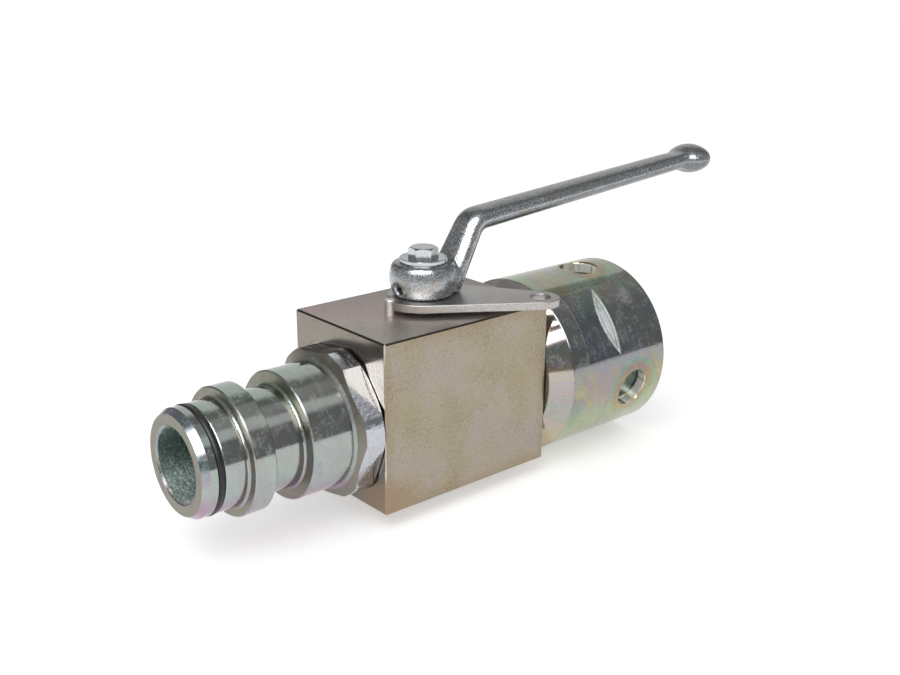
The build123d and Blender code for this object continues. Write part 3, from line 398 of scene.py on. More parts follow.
def faced_ends(tree, at, look, end_code):
    """Faces towards the plug's end: a browner film with the circles of the facing cut, and duller."""
    end_face = add(tree, "MapRange", (at.tilt, -0.93, -0.985))
    circles = add(tree, "MapRange", (at.lines, 0.3, 0.7, 0.86, 1.08))
    faced = add(tree, "VectorMath", (at.tint, linear(end_code)[:3]), operation="MULTIPLY")
    faced = add(tree, "VectorMath", (faced, circles), operation="MULTIPLY")
    cover(tree, look, [end_face], colour=faced)
    cut_face = add(tree, "MapRange", (at.tilt, -0.25, -0.95, 0.0, 0.26))
    look["dull"] = add(tree, "Math", (look["dull"], cut_face), operation="ADD")


def turned_zinc(name, round_film, tints, axis="X", zones=(), contours=0.0, holes=(), bloom=0.7,
                end_code="#8b887d", dust=0.60, brushing=0.7, calm=0.0, bloom_above=0.0):
    """Turned, plated steel: film, bloom and dust, faced ends, then the zones that differ."""
    made, tree, place = start(name)
    at = about_axis(tree, place, axis)
    look = {"colour": film_colour(tree, at, round_film, tints, contours, holes, calm)}
    bloom_and_dust(tree, at, look, bloom, brushing, dust, bloom_above)
    if axis == "X":
        faced_ends(tree, at, look, end_code)
    for zone in zones:
        zone(tree, at, look)
    return close(made, tree, look)


print("turning marks are drawn every", round(FEED / MM, 2), "mm")

# %% [markdown]
# On the plug four places differ. The hexagon is drawn bar that no tool touched: it has shallow dents
# and no lathe colours. The chamfer that leads the plug into its socket kept a violet film. The seal
# groove is pale and satin, and the bore is rough from the drill, dark green above and glinting below,
# with painted light from the table and the sky on its wall.

# %% Zones of the plug
plug_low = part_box("plug_adapter")[0]
block_low, block_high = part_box("valve_block")
HEX_X = block_low.x - 6.4 * MM       # middle of the hexagon
HEX_HALF = 7 * MM
LEAD_X = plug_low.x + 4.2 * MM       # end of the lead chamfer
SEAL_X = plug_low.x + 8.9 * MM       # middle of the seal groove
BORE_R = 17.7 * MM                   # just outside the plug's bore
VIOLET = [(0.36, "#8fa6a9"), (0.47, "#95a4a6"), (0.56, "#999aa3"), (0.68, "#a593a4")]
# colours of the bore's film, with painted light towards the top of the ramp
BORE_FILM_AND_LIGHT = [(0.12, "#45554f"), (0.48, "#6a7f78"), (0.72, "#9bada6"), (0.95, "#f4fbf8")]


def hexagon(tree, at, look):
    """Drawn bar: one grey on the flats and a browner one in front, with dents 1.8 mm wide."""
    at_hexagon = add(tree, "Math", (at.x, HEX_X, HEX_HALF), operation="COMPARE")
    sideways = add(tree, "Math", (at.tilt, -0.35), operation="GREATER_THAN")
    tone = add(tree, "Mix", {"Factor": sideways, "A": "#8e8a80", "B": "#bcbfc6"}, data_type="RGBA")
    cover(tree, look, [at_hexagon], colour=tone)
    dents = add(tree, "TexNoise", {"Vector": at.place, "Scale": 1 / (1.8 * MM), "Detail": 3.0})
    skin = add(tree, "Math", (dents, at_hexagon), operation="MULTIPLY")
    look["height"] = add(tree, "Math", (skin, 0.10 * MM, look["height"]), operation="MULTIPLY_ADD")


def lead_chamfer(tree, at, look):
    """A violet film on the upper side of the chamfer."""
    led = add(tree, "Math", (at.x, LEAD_X), operation="LESS_THAN")
    leaning = add(tree, "Math", (at.tilt, -0.6, 0.3), operation="COMPARE")
    shaded = add(tree, "MapRange", (at.up, -0.12, 0.06))
    cover(tree, look, [led, leaning, shaded], colour=add(tree, "ValToRGB", (at.smear,), stops=VIOLET))


def seal_groove(tree, at, look):
    """Pale, satin walls round the seal."""
    ahead = add(tree, "Math", (at.x, SEAL_X, 1.83 * MM), operation="COMPARE")
    below = add(tree, "Math", (at.radius, 25.2 * MM), operation="LESS_THAN")
    cover(tree, look, [ahead, below], colour="#cfd2ce", dull=0.5)


def plug_bore(tree, at, look):
    """Drilled wall: torn marks, with painted light, lightest where the table and the sky light it."""
    inside = add(tree, "Math", (at.radius, BORE_R), operation="LESS_THAN")
    # painted light on the bore's wall, from the table below and the sky above
    floor_light = add(tree, "MapRange", (at.up, 0.1, -0.8, 0.0, 0.30), interpolation_type="SMOOTHSTEP")
    roof_light = add(tree, "MapRange", (at.up, 0.25, 0.85, 0.0, 0.34), interpolation_type="SMOOTHSTEP")
    lit = add(tree, "Math", (roof_light, floor_light), operation="ADD")
    torn = add(tree, "Math", (at.lines, 0.9, at.specks), operation="MULTIPLY_ADD")
    torn = add(tree, "MapRange", (torn, 0.66, 1.34))
    depth = add(tree, "Math", (torn, lit), operation="ADD")
    cover(tree, look, [inside], colour=add(tree, "ValToRGB", (depth,), stops=BORE_FILM_AND_LIGHT), dull=0.42,
          metal=0.5)


print("seal groove is", round((SEAL_X - plug_low.x) / MM, 1), "mm from the nose of the plug")

# %% [markdown]
# The nut has a wrench flat that was milled after turning. It shows a bluish face darkened by painted
# shade, a rubbed lip in front and a bright wall at the back, where the cutter left chatter marks. Beside
# it are the spanner holes, with painted glints on their walls and a floor painted dark as shade. The
# cone in front was turned, and its film fans out in rays that are a painted reflection of the room.

# %% Zones of the nut
FLAT_AT = 143.2                      # direction of the wrench flat about the flow, in degrees
FLAT_SPAN = 0.90                     # cosine of half the angle that a wrench flat takes
LIP_X, WALL_X = nut_low.x + 21.2 * MM, nut_low.x + 46.1 * MM      # front and back end of the flat
CONE_END = nut_low.x + 9.6 * MM
CHATTER = (0, 5200, 2600)            # radians a metre: a mark every 1.1 mm
FLAT_FILM_AND_SHADE = (0.80, 0.84, 0.90, 1)   # share of red, green and blue that the milled flat keeps: a bluer film and painted shade
# painted glints: bright streaks on the spanner holes' walls
PAINTED_GLINTS = [(0.36, "#77725c"), (0.43, "#f2efe6"), (0.53, "#ffffff"), (0.59, "#e6dcc0"), (0.66, "#6b6a55")]
# film colours of the cone, laid out in rays as a painted reflection of the room
CONE_FILM_AND_REFLECTION = [(0.34, "#93aa9e"), (0.44, "#a9a9a2"), (0.52, "#ada4a6"), (0.60, "#b5ab94"), (0.70, "#aa9ca1")]


def near_flat(tree, at):
    """Zone that is 1 within the angle of the wrench flat."""
    way_out = (0, math.cos(math.radians(FLAT_AT)), math.sin(math.radians(FLAT_AT)))
    over_flat = add(tree, "VectorMath", (at.facing, way_out), operation="DOT_PRODUCT")
    return add(tree, "Math", (over_flat, FLAT_SPAN), operation="GREATER_THAN")


def flat_wall(tree, at, look):
    """Wall at the back of the flat: chatter marks, and a dark seam across it."""
    at_wall = add(tree, "Math", (at.x, WALL_X, 0.05 * MM), operation="COMPARE")
    to_plug = add(tree, "Math", (at.tilt, -0.6), operation="LESS_THAN")
    chatter = add(tree, "VectorMath", (at.moved, CHATTER), operation="DOT_PRODUCT")
    ridges = add(tree, "Math", (chatter,), operation="SINE")
    milled = add(tree, "MapRange", (ridges, -1.0, 1.0))
    film = add(tree, "Mix", {"Factor": milled, "A": "#d4c7b6", "B": "#fff3e4"}, data_type="RGBA")
    seam = add(tree, "Math", (at.radius, 46.0 * MM, 0.16 * MM), operation="COMPARE")
    film = add(tree, "Mix", {"Factor": seam, "A": film, "B": "#59544c"}, data_type="RGBA")
    cover(tree, look, [at_wall, to_plug], colour=film)


def flat_lip(tree, at, look):
    """Front edge of the flat, rubbed to dull specks."""
    at_lip = add(tree, "Math", (at.x, LIP_X, 0.38 * MM), operation="COMPARE")
    rubbed = add(tree, "Math", (at.specks, 0.46), operation="GREATER_THAN")
    cover(tree, look, [at_lip, near_flat(tree, at), rubbed], metal=0.2, dull=0.4)


def spanner_holes(tree, at, look):
    """Floor painted dark as shade, then walls with painted glints 7 mm apart."""
    # painted shade: the floors of the holes are darkened
    painted_dark_floor = add(tree, "Math", (at.radius, 41.6 * MM, 1.08 * MM), operation="COMPARE")
    level = add(tree, "Math", (at.x, HOLE_X, 12 * MM), operation="COMPARE")
    cover(tree, look, [painted_dark_floor, level], colour="#6f7a72")
    for flat, off in at.mouths:
        at_wall = add(tree, "Math", (off, 10.5 * MM, 0.5 * MM), operation="COMPARE")
        over_floor = add(tree, "Math", (at.radius, 42.0 * MM), operation="GREATER_THAN")
        # painted glints on the walls of each hole
        painted_glints = add(tree, "TexNoise", {"Vector": flat, "Scale": 1 / (7 * MM), "Detail": 2.0})
        painted_glints = add(tree, "ValToRGB", (painted_glints,), stops=PAINTED_GLINTS)
        cover(tree, look, [at_wall, over_floor], colour=painted_glints, metal=0.4)


def flat_face(tree, at, look):
    """Milled face of the flat, below the turned skin and above the holes' floors: a bluer film, darkened by
    painted shade.
    """
    deep = add(tree, "Math", (at.radius, 47.95 * MM), operation="LESS_THAN")
    outer = add(tree, "Math", (at.radius, 43.5 * MM), operation="GREATER_THAN")
    cover(tree, look, [near_flat(tree, at), deep, outer], blend="MULTIPLY", colour=FLAT_FILM_AND_SHADE)


def nut_cone(tree, at, look):
    """Cone at the front: glossy, with rays of film painted as a reflection of the room, warmer underneath.
    """
    # painted reflection: rays that fan out from the axis, as a turned cone mirrors the room
    fan = add(tree, "VectorMath", {0: at.facing, "Scale": 7.0}, operation="SCALE")
    rays = add(tree, "TexNoise", {"Vector": fan, "Scale": 1.0, "Detail": 5.0, "Roughness": 0.6})
    painted_rays = add(tree, "ValToRGB", (rays,), stops=CONE_FILM_AND_REFLECTION)
    lower = add(tree, "MapRange", (at.up, -0.35, -0.85), interpolation_type="SMOOTHSTEP")
    painted_rays = add(tree, "Mix", {"Factor": lower, "A": painted_rays, "B": "#cdbd9e"}, data_type="RGBA")
    before = add(tree, "Math", (at.x, CONE_END), operation="LESS_THAN")
    sloped = add(tree, "Math", (at.tilt, -0.7, 0.1), operation="COMPARE")
    cover(tree, look, [before, sloped], colour=painted_rays, dull=0.09)


print("wrench flat is", round((WALL_X - LIP_X) / MM, 1), "mm long")

# %% [markdown]
# Three turned finishes come of this. The plug's film is blue green, as thin films are. The nut's is
# thicker and iridescent, calmer on the flank that is seen in the dark band and with more dust. The
# spindle is plain stainless steel. The films by direction go once round the flow axis, from the far
# side: 0.25 of a turn is up and 0.5 faces the photographer.

# %% Turned finishes
PLUG_FILM = [(0.0, "#a1a69e"), (0.17, "#9ba89f"), (0.30, "#9da79f"), (0.36, "#a0a7a3"), (0.54, "#a5afab"),
             (0.59, "#a5a3ab"), (0.63, "#ad97a9"), (0.72, "#a994a6"), (0.85, "#9d9b9b"), (1.0, "#a1a69e")]
NUT_FILM = [(0.0, "#a3a895"), (0.20, "#949889"), (0.30, "#979b8f"), (0.38, "#a0a5a5"), (0.46, "#989b9d"),
            (0.52, "#a2a096"), (0.56, "#adad99"), (0.62, "#b2b499"), (0.72, "#9ea490"), (0.85, "#a0998e"),
            (1.0, "#a3a895")]
STAINLESS = [(0.0, "#a8aaa8"), (0.5, "#b0b1ae"), (1.0, "#a8aaa8")]
PLAIN = [(0.0, "#ffffff"), (0.28, "#fff6f6"), (0.45, "#f8f4fc"), (0.62, "#f3faf9"), (0.80, "#f6fdf2"),
         (1.0, "#ffffff")]
CONTOURS = [(0.0, "#fafdf7"), (0.20, "#fffadc"), (0.36, "#ffeee2"), (0.50, "#fbebf4"), (0.68, "#e8f8f4"),
            (0.84, "#eaffe8"), (1.0, "#fafdf7")]
HOLES_AT = (92.2, 14.2)              # directions of two spanner holes; the others are opposite

blue_zinc = turned_zinc("turned steel, blue passivated zinc", PLUG_FILM, PLAIN, contours=2.2,
                        zones=(hexagon, lead_chamfer, seal_groove, plug_bore))
yellow_zinc = turned_zinc("turned steel, iridescent passivated zinc", NUT_FILM, CONTOURS,
                          zones=(flat_wall, flat_lip, spanner_holes, flat_face, nut_cone),
                          contours=3.0, holes=HOLES_AT, bloom=0.8, end_code="#b3aca0", dust=0.78,
                          brushing=0.35, calm=0.75, bloom_above=0.30)
spindle_steel = turned_zinc("turned stainless steel", STAINLESS, PLAIN, axis="Z")
print("turned finishes:", blue_zinc.name, "/", yellow_zinc.name, "/", spindle_steel.name)

# %% [markdown]
# The block is sawn from cold drawn square bar and plated with it: the drawn faces have a soft grey
# brown cloudiness, olive here and pinkish there, with fine dark pits from the pickling bath. Close to
# the edges the film is thicker and browner, and on the top face it darkens towards the front corner.
# Handling has rubbed the sharp edges bright. Real pits are a tenth of a millimetre wide, and are drawn
# at 1.1 mm so that they show.

# %% Film of the block
DRAWN = [(0.30, "#9c8f79"), (0.42, "#9d947e"), (0.50, "#a09684"), (0.58, "#a2988b"), (0.70, "#a1968f")]
TOP = [(0.0, "#99938c"), (0.35, "#a49b95"), (0.55, "#a5918f"), (0.8, "#938a84"), (1.0, "#8a8580")]
SPOT_R = 36.4 * MM                   # spot face that the plug's hexagon sits on
SPOT_SHADE = (0.88, 0.86, 0.84, 1)   # share of red, green and blue that the spot face keeps


def edge_distance(tree, place):
    """How far a point on the block lies from the nearest edge."""
    middle = (block_low + block_high) / 2
    half = (block_high - block_low) / 2
    centred = add(tree, "VectorMath", (place, tuple(middle)), operation="SUBTRACT")
    size = add(tree, "VectorMath", (centred,), operation="ABSOLUTE")
    inside = add(tree, "VectorMath", (tuple(half), size), operation="SUBTRACT")
    depth = add(tree, "SeparateXYZ", (inside,)).outputs
    lesser = add(tree, "Math", (depth["X"], depth["Y"]), operation="MINIMUM")
    greater = add(tree, "Math", (depth["X"], depth["Y"]), operation="MAXIMUM")
    second = add(tree, "Math", (lesser, depth["Z"]), operation="MAXIMUM")
    return add(tree, "Math", (second, greater), operation="MINIMUM")


def drawn_faces(tree, at, look):
    """Clouds and pits, browner near the edges."""
    film = add(tree, "ValToRGB", (at.clouds,), stops=DRAWN)
    rim = add(tree, "Math", (at.clouds, 14 * MM, at.edge), operation="MULTIPLY_ADD")
    rim = add(tree, "MapRange", (rim, 6.0 * MM, 16 * MM, 1.0, 0.0), interpolation_type="SMOOTHSTEP")
    browned = add(tree, "Mix", {"Factor": rim, "A": film, "B": "#988c78"}, data_type="RGBA")
    look["colour"] = add(tree, "VectorMath", (browned, at.pits), operation="MULTIPLY")


def sawn_end(tree, at, look):
    """Greyer end with the spot face, which is darker and has a bright ring round it."""
    on_end = add(tree, "Math", (at.normal["X"], -0.9), operation="LESS_THAN")
    grey = add(tree, "VectorMath", (linear("#88837c")[:3], at.pits), operation="MULTIPLY")
    cover(tree, look, [on_end, 0.75], colour=grey)
    spoke = add(tree, "VectorMath", (at.place, (0, 0, FLOW_H)), operation="SUBTRACT")
    spoke = add(tree, "VectorMath", (spoke, (0, 1, 1)), operation="MULTIPLY")
    from_flow = add(tree, "VectorMath", (spoke,), operation="LENGTH")
    within = add(tree, "Math", (from_flow, SPOT_R), operation="LESS_THAN")
    ring = add(tree, "Math", (from_flow, SPOT_R, 0.35 * MM), operation="COMPARE")
    cover(tree, look, [within, on_end], blend="MULTIPLY", colour=SPOT_SHADE)
    cover(tree, look, [ring, on_end], colour="#aaa59b")


def darker_low_corner(tree, at, look):
    """Browner, darker colour round the lowest corner in front."""
    corner = add(tree, "VectorMath", (at.place, tuple(block_low)), operation="DISTANCE")
    near = add(tree, "Math", (at.spread, 34 * MM, corner), operation="MULTIPLY_ADD")
    corner_share = add(tree, "MapRange", (near, 22 * MM, 42 * MM, 0.75, 0.0), interpolation_type="SMOOTHSTEP")
    cover(tree, look, [corner_share], colour="#9b836c")


def top_face(tree, at, look):
    """Top of the block: a colour that changes from the front corner to the back."""
    slant = add(tree, "VectorMath", (at.place, (6, 13, 0)), operation="DOT_PRODUCT")
    back_way = add(tree, "Math", (at.clouds, 0.7, slant), operation="MULTIPLY_ADD")
    back_way = add(tree, "MapRange", (back_way, -0.35, 0.85))
    film = add(tree, "ValToRGB", (back_way,), stops=TOP)
    film = add(tree, "VectorMath", (film, at.pits), operation="MULTIPLY")
    cover(tree, look, [at.on_top], colour=film)


print("spot face:", round(2 * SPOT_R / MM, 1), "mm across")

# %% [markdown]
# The faces are put together on one material, and the edges come last: a dark line painted along the
# broken edges of the top, as their reflection of the dark room, and bright wear where hands and boxes
# have rubbed.

# %% Plated block
def block_zinc(name):
    """Drawn steel bar with zinc plate: its faces, then its edges, then gloss and grain."""
    made, tree, place = start(name)
    at = SimpleNamespace(place=place, edge=edge_distance(tree, place))
    at.clouds = add(tree, "TexNoise", {"Vector": place, "Scale": 1 / (34 * MM), "Detail": 5.0,
                                       "Roughness": 0.6, "Distortion": 0.4})
    at.spread = add(tree, "TexNoise", {"Vector": place, "Scale": 1 / (16 * MM), "Detail": 3.0})
    grain = add(tree, "TexNoise", {"Vector": place, "Scale": 1 / (1.1 * MM), "Detail": 4.0,
                                   "Roughness": 0.8})
    depth = add(tree, "Math", (at.spread, 0.22, grain), operation="MULTIPLY_ADD")
    at.pits = add(tree, "MapRange", (depth, 0.46, 0.60, 0.76, 1.01))
    at.normal = add(tree, "SeparateXYZ", (add(tree, "NewGeometry").outputs["Normal"],)).outputs
    at.on_top = add(tree, "Math", (at.normal["Z"], 0.9), operation="GREATER_THAN")
    look = {}
    for zone in (drawn_faces, sawn_end, darker_low_corner, top_face):
        zone(tree, at, look)
    wear = add(tree, "Math", (at.spread, 1.4 * MM, -0.25 * MM), operation="MULTIPLY_ADD")
    worn = add(tree, "Math", (at.edge, wear), operation="LESS_THAN")
    cover(tree, look, [worn], colour="#c3beb6")
    # painted reflection: a dark line on the chamfered edges of the top
    painted_dark_rim = add(tree, "Math", (at.normal["Z"], 0.65, 0.24), operation="COMPARE")
    cover(tree, look, [painted_dark_rim], colour="#5b544b")
    gloss = add(tree, "MapRange", (grain, 0.3, 0.7, 0.28, 0.12))
    look["dull"] = add(tree, "Math", (at.on_top, 0.24, gloss), operation="MULTIPLY_ADD")
    look["metal"] = add(tree, "Math", (at.on_top, -0.12, 1.0), operation="MULTIPLY_ADD")
    look["height"] = add(tree, "Math", (grain, 0.008 * MM), operation="MULTIPLY")
    return close(made, tree, look)


drawn_zinc = block_zinc("drawn steel bar, passivated zinc")
print("block finish:", drawn_zinc.name)

# %% [markdown]
# The lever is a steel casting that was shot blasted and then plated bright. Thousands of shallow dents
# a millimetre wide each catch their own bit of the room, which is why it glitters. The stop plate is
# cut from sheet, with a finer and duller grain and the vertical tear marks of the punch on its edge.
# The pin and the screw are bright bought parts. Light and shade are painted into their colours: each
# tone is a share of light by the way that the skin faces, from 0 for straight down to 1 for straight up,
# and 0.5 keeps a colour as it is.

# %% Cast and sheet zinc
TEAR = (1800, 1800, 45)              # tear marks: 0.6 mm across, 22 mm long
# painted light and shade of the bar: a share of its colour by the way that the skin faces
BAR_PAINTED_LIGHT = [(0.12, 0.28), (0.42, 0.28), (0.50, 0.58), (0.62, 0.58), (0.74, 0.48), (0.90, 0.28)]
BAR_FROM, BAR_ALL = 99 * MM, 105 * MM        # heights between which the bar's painted light and shade take over


def dented_zinc(name, colours, dent, depth, rough, speck, edge_marks=0.0, up=1.0, side=1.0, down=1.0,
                high_painted_light=None, glitter=0.0):
    """Zinc plate over a blasted or rolled skin: dents of one width, darker specks between them, and light
    and shade painted by the way that the skin faces.
    """
    made, tree, place = start(name)
    wide = add(tree, "TexNoise", {"Vector": place, "Scale": 1 / (8 * MM), "Detail": 5.0,
                                  "Roughness": 0.65})
    film = add(tree, "ValToRGB", (wide,), stops=colours)
    dents = add(tree, "TexNoise", {"Vector": place, "Scale": 1 / dent, "Detail": 2.5,
                                   "Roughness": 0.6})
    drawn = add(tree, "VectorMath", (place, TEAR), operation="MULTIPLY")
    tears = add(tree, "TexNoise", {"Vector": drawn, "Scale": 1.0, "Detail": 3.0})
    fine = add(tree, "TexNoise", {"Vector": place, "Scale": 1 / (1.0 * MM), "Detail": 4.0,
                                  "Roughness": 0.7})
    dark = add(tree, "MapRange", (fine, 0.32, 0.50, speck, 1.0))
    torn = add(tree, "MapRange", (tears, 0.35, 0.6, 1.0 - edge_marks, 1.0))
    both = add(tree, "Math", (dark, torn), operation="MULTIPLY")
    normal = add(tree, "SeparateXYZ", (add(tree, "NewGeometry").outputs["Normal"],))
    lean = add(tree, "Math", (normal.outputs["Z"], 0.5, 0.5), operation="MULTIPLY_ADD")
    # painted light and shade: a share of the colour by the way that the skin faces
    tone = add(tree, "ValToRGB", (lean,), stops=[(0.12, 0.5 * down), (0.42, 0.5 * down),
                                                 (0.50, 0.5 * side), (0.72, 0.5 * side),
                                                 (0.90, 0.5 * up)])
    if high_painted_light:
        level = add(tree, "SeparateXYZ", (place,)).outputs["Z"]
        high = add(tree, "MapRange", (level, BAR_FROM, BAR_ALL))
        other = add(tree, "ValToRGB", (lean,), stops=high_painted_light)
        tone = add(tree, "Mix", {"Factor": high, "A": tone, "B": other}, data_type="RGBA")
    for share in (both, 2.0):
        tone = add(tree, "VectorMath", {0: tone, "Scale": share}, operation="SCALE")
    dull = add(tree, "MapRange", (fine, 0.3, 0.7, rough + 0.10, rough - 0.05))
    grit = add(tree, "TexNoise", {"Vector": place, "Scale": 1 / (1.15 * MM), "Detail": 3.0,
                                  "Roughness": 0.8})
    frost = add(tree, "MapRange", (grit, 0.48, 0.64, 1.0, 1.0 - glitter))
    return close(made, tree, {
        "colour": add(tree, "VectorMath", (film, tone), operation="MULTIPLY"), "dull": dull,
        "metal": frost, "height": add(tree, "Math", (dents, depth), operation="MULTIPLY")})


# up, side and down set how much light or shade is painted on tops, sides and undersides
cast_zinc = dented_zinc("blasted steel casting, bright zinc",
                        [(0.34, "#b0aaa0"), (0.46, "#abafb2"), (0.60, "#b5b9bd"), (0.72, "#bfb9ae")],
                        1.0 * MM, 0.15 * MM, 0.22, 0.50, down=1.35, high_painted_light=BAR_PAINTED_LIGHT, glitter=0.55)
sheet_zinc = dented_zinc("cut steel sheet, matt zinc", [(0.3, "#b0adab"), (0.6, "#b8b5b2")],
                         1.2 * MM, 0.016 * MM, 0.34, 0.80, 0.10, up=0.80, side=1.14, down=1.14)
bright_steel = dented_zinc("bright zinc plated screw steel", [(0.3, "#b0b5b8"), (0.6, "#bcc0c2")],
                           0.9 * MM, 0.012 * MM, 0.16, 0.88, up=0.72, side=1.2, glitter=0.35)
pin_steel = dented_zinc("ground pin steel", [(0.3, "#d8d7d4"), (0.6, "#e4e3df")],
                        1.2 * MM, 0.006 * MM, 0.46, 0.92)
black_steel = dented_zinc("blackened steel", [(0.3, "#3a3b3d"), (0.6, "#47484a")],
                          0.8 * MM, 0.006 * MM, 0.35, 0.8)
chrome = dented_zinc("hard chrome, lapped", [(0.3, "#c6c8ca"), (0.6, "#cfd0d2")],
                     2.5 * MM, 0.002 * MM, 0.08, 0.97)
print("cast finish:", cast_zinc.name)

# %% [markdown]
# Seals are nitrile rubber, black with a faint bloom that makes their highlight grey and soft. Seats
# are glass filled plastic, a pale straw colour. Neither is metal, so their gloss is weak and white.

# %% Rubber and plastic
def soft_part(name, colours, rough, grain):
    """Rubber or plastic: a slow change of shade, and a fine grain in gloss and surface."""
    made, tree, place = start(name)
    wide = add(tree, "TexNoise", {"Vector": place, "Scale": 1 / (6 * MM), "Detail": 3.0})
    shade = add(tree, "ValToRGB", (wide,), stops=colours)
    fine = add(tree, "TexNoise", {"Vector": place, "Scale": 1 / grain, "Detail": 2.0})
    dull = add(tree, "MapRange", (fine, 0.3, 0.7, rough - 0.08, rough + 0.08))
    bump = add(tree, "Bump", {"Height": fine, "Strength": 0.4, "Distance": 0.02 * MM})
    shader = add(tree, "BsdfPrincipled", {"Base Color": shade, "Roughness": dull, "Normal": bump})
    add(tree, "OutputMaterial", {"Surface": shader})
    return made


rubber = soft_part("nitrile rubber, moulded", [(0.3, "#17181a"), (0.7, "#232426")], 0.42, 0.3 * MM)
seat_plastic = soft_part("glass filled plastic, machined", [(0.3, "#d8cfb8"), (0.7, "#e2dac6")], 0.5,
                         0.25 * MM)
print("soft finishes:", rubber.name, "/", seat_plastic.name)

# %% [markdown]
# The nut's real bore carries a thread, M80 x 3, which the measured model leaves as a plain hole at the
# crest. Here the bore is opened to the root of the thread, and the spanner holes get their full width
# and depth. The measured mesh is copied and its vertices are moved by a rule, which keeps every edge
# of the real piece, and the copy then stands for the measured one.

# %% Nut with an open thread
THREAD_CREST = 38.4 * MM
THREAD_ROOT = 40.0 * MM
THREAD_START = nut_high.x - 37.0 * MM
THREAD_LEN = 34.5 * MM
PITCH = 3.0 * MM
BORE_FROM, BORE_TO = THREAD_START - 1.1 * MM, nut_high.x - 1.7 * MM
HOLE_AXES = [(math.cos(math.radians(d + half)), math.sin(math.radians(d + half)))
             for d in HOLES_AT for half in (0, 180)]
HOLE_R = 10.8 * MM                   # spanner holes, as they are here
CAD_HOLE_R = 10 * MM                 # and as they are measured,
WALL_R = 10.02 * MM                  # where everything outside this radius is chamfer,
MOUTH_R = 11.4 * MM                  # which ends within this one
CHAMFER = 0.8 * MM
MOUTH_FOOT, MOUTH_EDGE = 46.5 * MM, 46.8 * MM        # heights from the flow: chamfer's foot, flat's edge
POINT_FOOT, CAD_POINT, POINT = 41 * MM, 42.56 * MM, 40.6 * MM      # bottom of the holes
POINT_SLOPE = 0.1                    # the drill point is nearly flat


def reshape(node, name, body, move):
    """Copy of a measured piece with its vertices moved by a rule; it stands for the measured one."""
    mesh = nodes[node].data.copy()
    mesh.name = name
    for vertex in mesh.vertices:
        vertex.co = move(vertex.co)
    piece = bpy.data.objects.new(name, mesh)
    bpy.context.scene.collection.objects.link(piece)
    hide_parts(node)
    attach(piece, body)
    return piece


def open_nut(co):
    """Move the bore to the thread's root, and the spanner holes to their full width and depth."""
    y, z = co.y, co.z - FLOW_H
    radius = math.hypot(y, z)
    if BORE_FROM < co.x < BORE_TO and abs(radius - THREAD_CREST) < 0.1 * MM:
        return Vector((co.x, y * THREAD_ROOT / radius, FLOW_H + z * THREAD_ROOT / radius))
    for along_y, along_z in HOLE_AXES:
        height = y * along_y + z * along_z
        ahead, aside = co.x - HOLE_X, z * along_y - y * along_z
        off = math.hypot(ahead, aside)
        if height < POINT_FOOT or off > MOUTH_R:
            continue
        if off > WALL_R or height > MOUTH_FOOT:         # chamfer round the mouth
            on_edge = off < WALL_R and abs(height - MOUTH_EDGE) < 0.05 * MM
            wider = (HOLE_R if on_edge else off + CHAMFER) / off
            ahead, aside = ahead * wider, aside * wider
            height = math.sqrt(nut_high.y ** 2 - aside ** 2) if off > WALL_R else MOUTH_FOOT
        else:                                           # wall and drill point
            ahead, aside = ahead * HOLE_R / CAD_HOLE_R, aside * HOLE_R / CAD_HOLE_R
            height = POINT + (height - CAD_POINT) * POINT_SLOPE
        return Vector((HOLE_X + ahead, height * along_y - aside * along_z,
                       FLOW_H + height * along_z + aside * along_y))
    return co


nut_piece = reshape("union_nut", "union_nut_body", "nut", open_nut)
print("reshaped:", nut_piece.name)

# %% [markdown]
# The plug is screwed home until its hexagon sits on the block, and its seal lies near the nose, a
# thin cord that stands a little proud of its groove. The measured pieces are near enough to be moved
# there: the back of the hexagon by a step, the groove by a list of stations, and the ring by its
# width.

# %% Plug screwed home, seal in its groove
SPOT_GAP = 1.5 * MM                  # how far the hexagon's back comes to the block
STATIONS = [(0.0, 0.0), (4.0, 4.0), (9.38, 7.07), (14.62, 10.73), (20.0, 20.0)]    # from and to, in mm
CORD = 3.4 * MM                      # thickness of the seal
seal_low, seal_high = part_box("plug_seal")
SEAL_SCALE = CORD / (seal_high.x - seal_low.x)


def home_plug(co):
    """Bring the hexagon's back to the block's spot face and the seal groove to its station."""
    radius = math.hypot(co.y, co.z - FLOW_H)
    if block_low.x - 2.7 * MM < co.x < block_low.x - SPOT_GAP and radius > 30.5 * MM:
        return Vector((co.x + SPOT_GAP, co.y, co.z))
    station = (co.x - plug_low.x) / MM
    if radius > 20.5 * MM:
        for (a, to_a), (b, to_b) in zip(STATIONS, STATIONS[1:]):
            if a <= station < b:
                moved = to_a + (to_b - to_a) * (station - a) / (b - a)
                return Vector((plug_low.x + moved * MM, co.y, co.z))
    return co


def fit_seal(co):
    """Make the ring fit that groove: a thinner cord at the new station, as far out as before."""
    radius = math.hypot(co.y, co.z - FLOW_H)
    squeezed = seal_high.y - (seal_high.y - radius) * SEAL_SCALE
    return Vector((SEAL_X + (co.x - (seal_low.x + seal_high.x) / 2) * SEAL_SCALE,
                   co.y * squeezed / radius, FLOW_H + (co.z - FLOW_H) * squeezed / radius))


plug_piece = reshape("plug_adapter", "plug_body", "housing", home_plug)
seal_piece = reshape("plug_seal", "plug_seal_ring", "housing", fit_seal)
print("reshaped:", plug_piece.name, "and", seal_piece.name, "with an outer radius of",
      round(seal_high.y / MM, 2), "mm")

# %% [markdown]
# The lever is cast, and sand leaves no sharp edge: the arm and the bar are oval, and the boss runs into
# the arm in a soft valley. Here the measured lever is meshed evenly. Along its centre line, up the arm,
# round the bend and out the bar, each section is drawn from a slab to an oval that fills the same
# outline. Then the whole skin is relaxed a little, as blasting does.

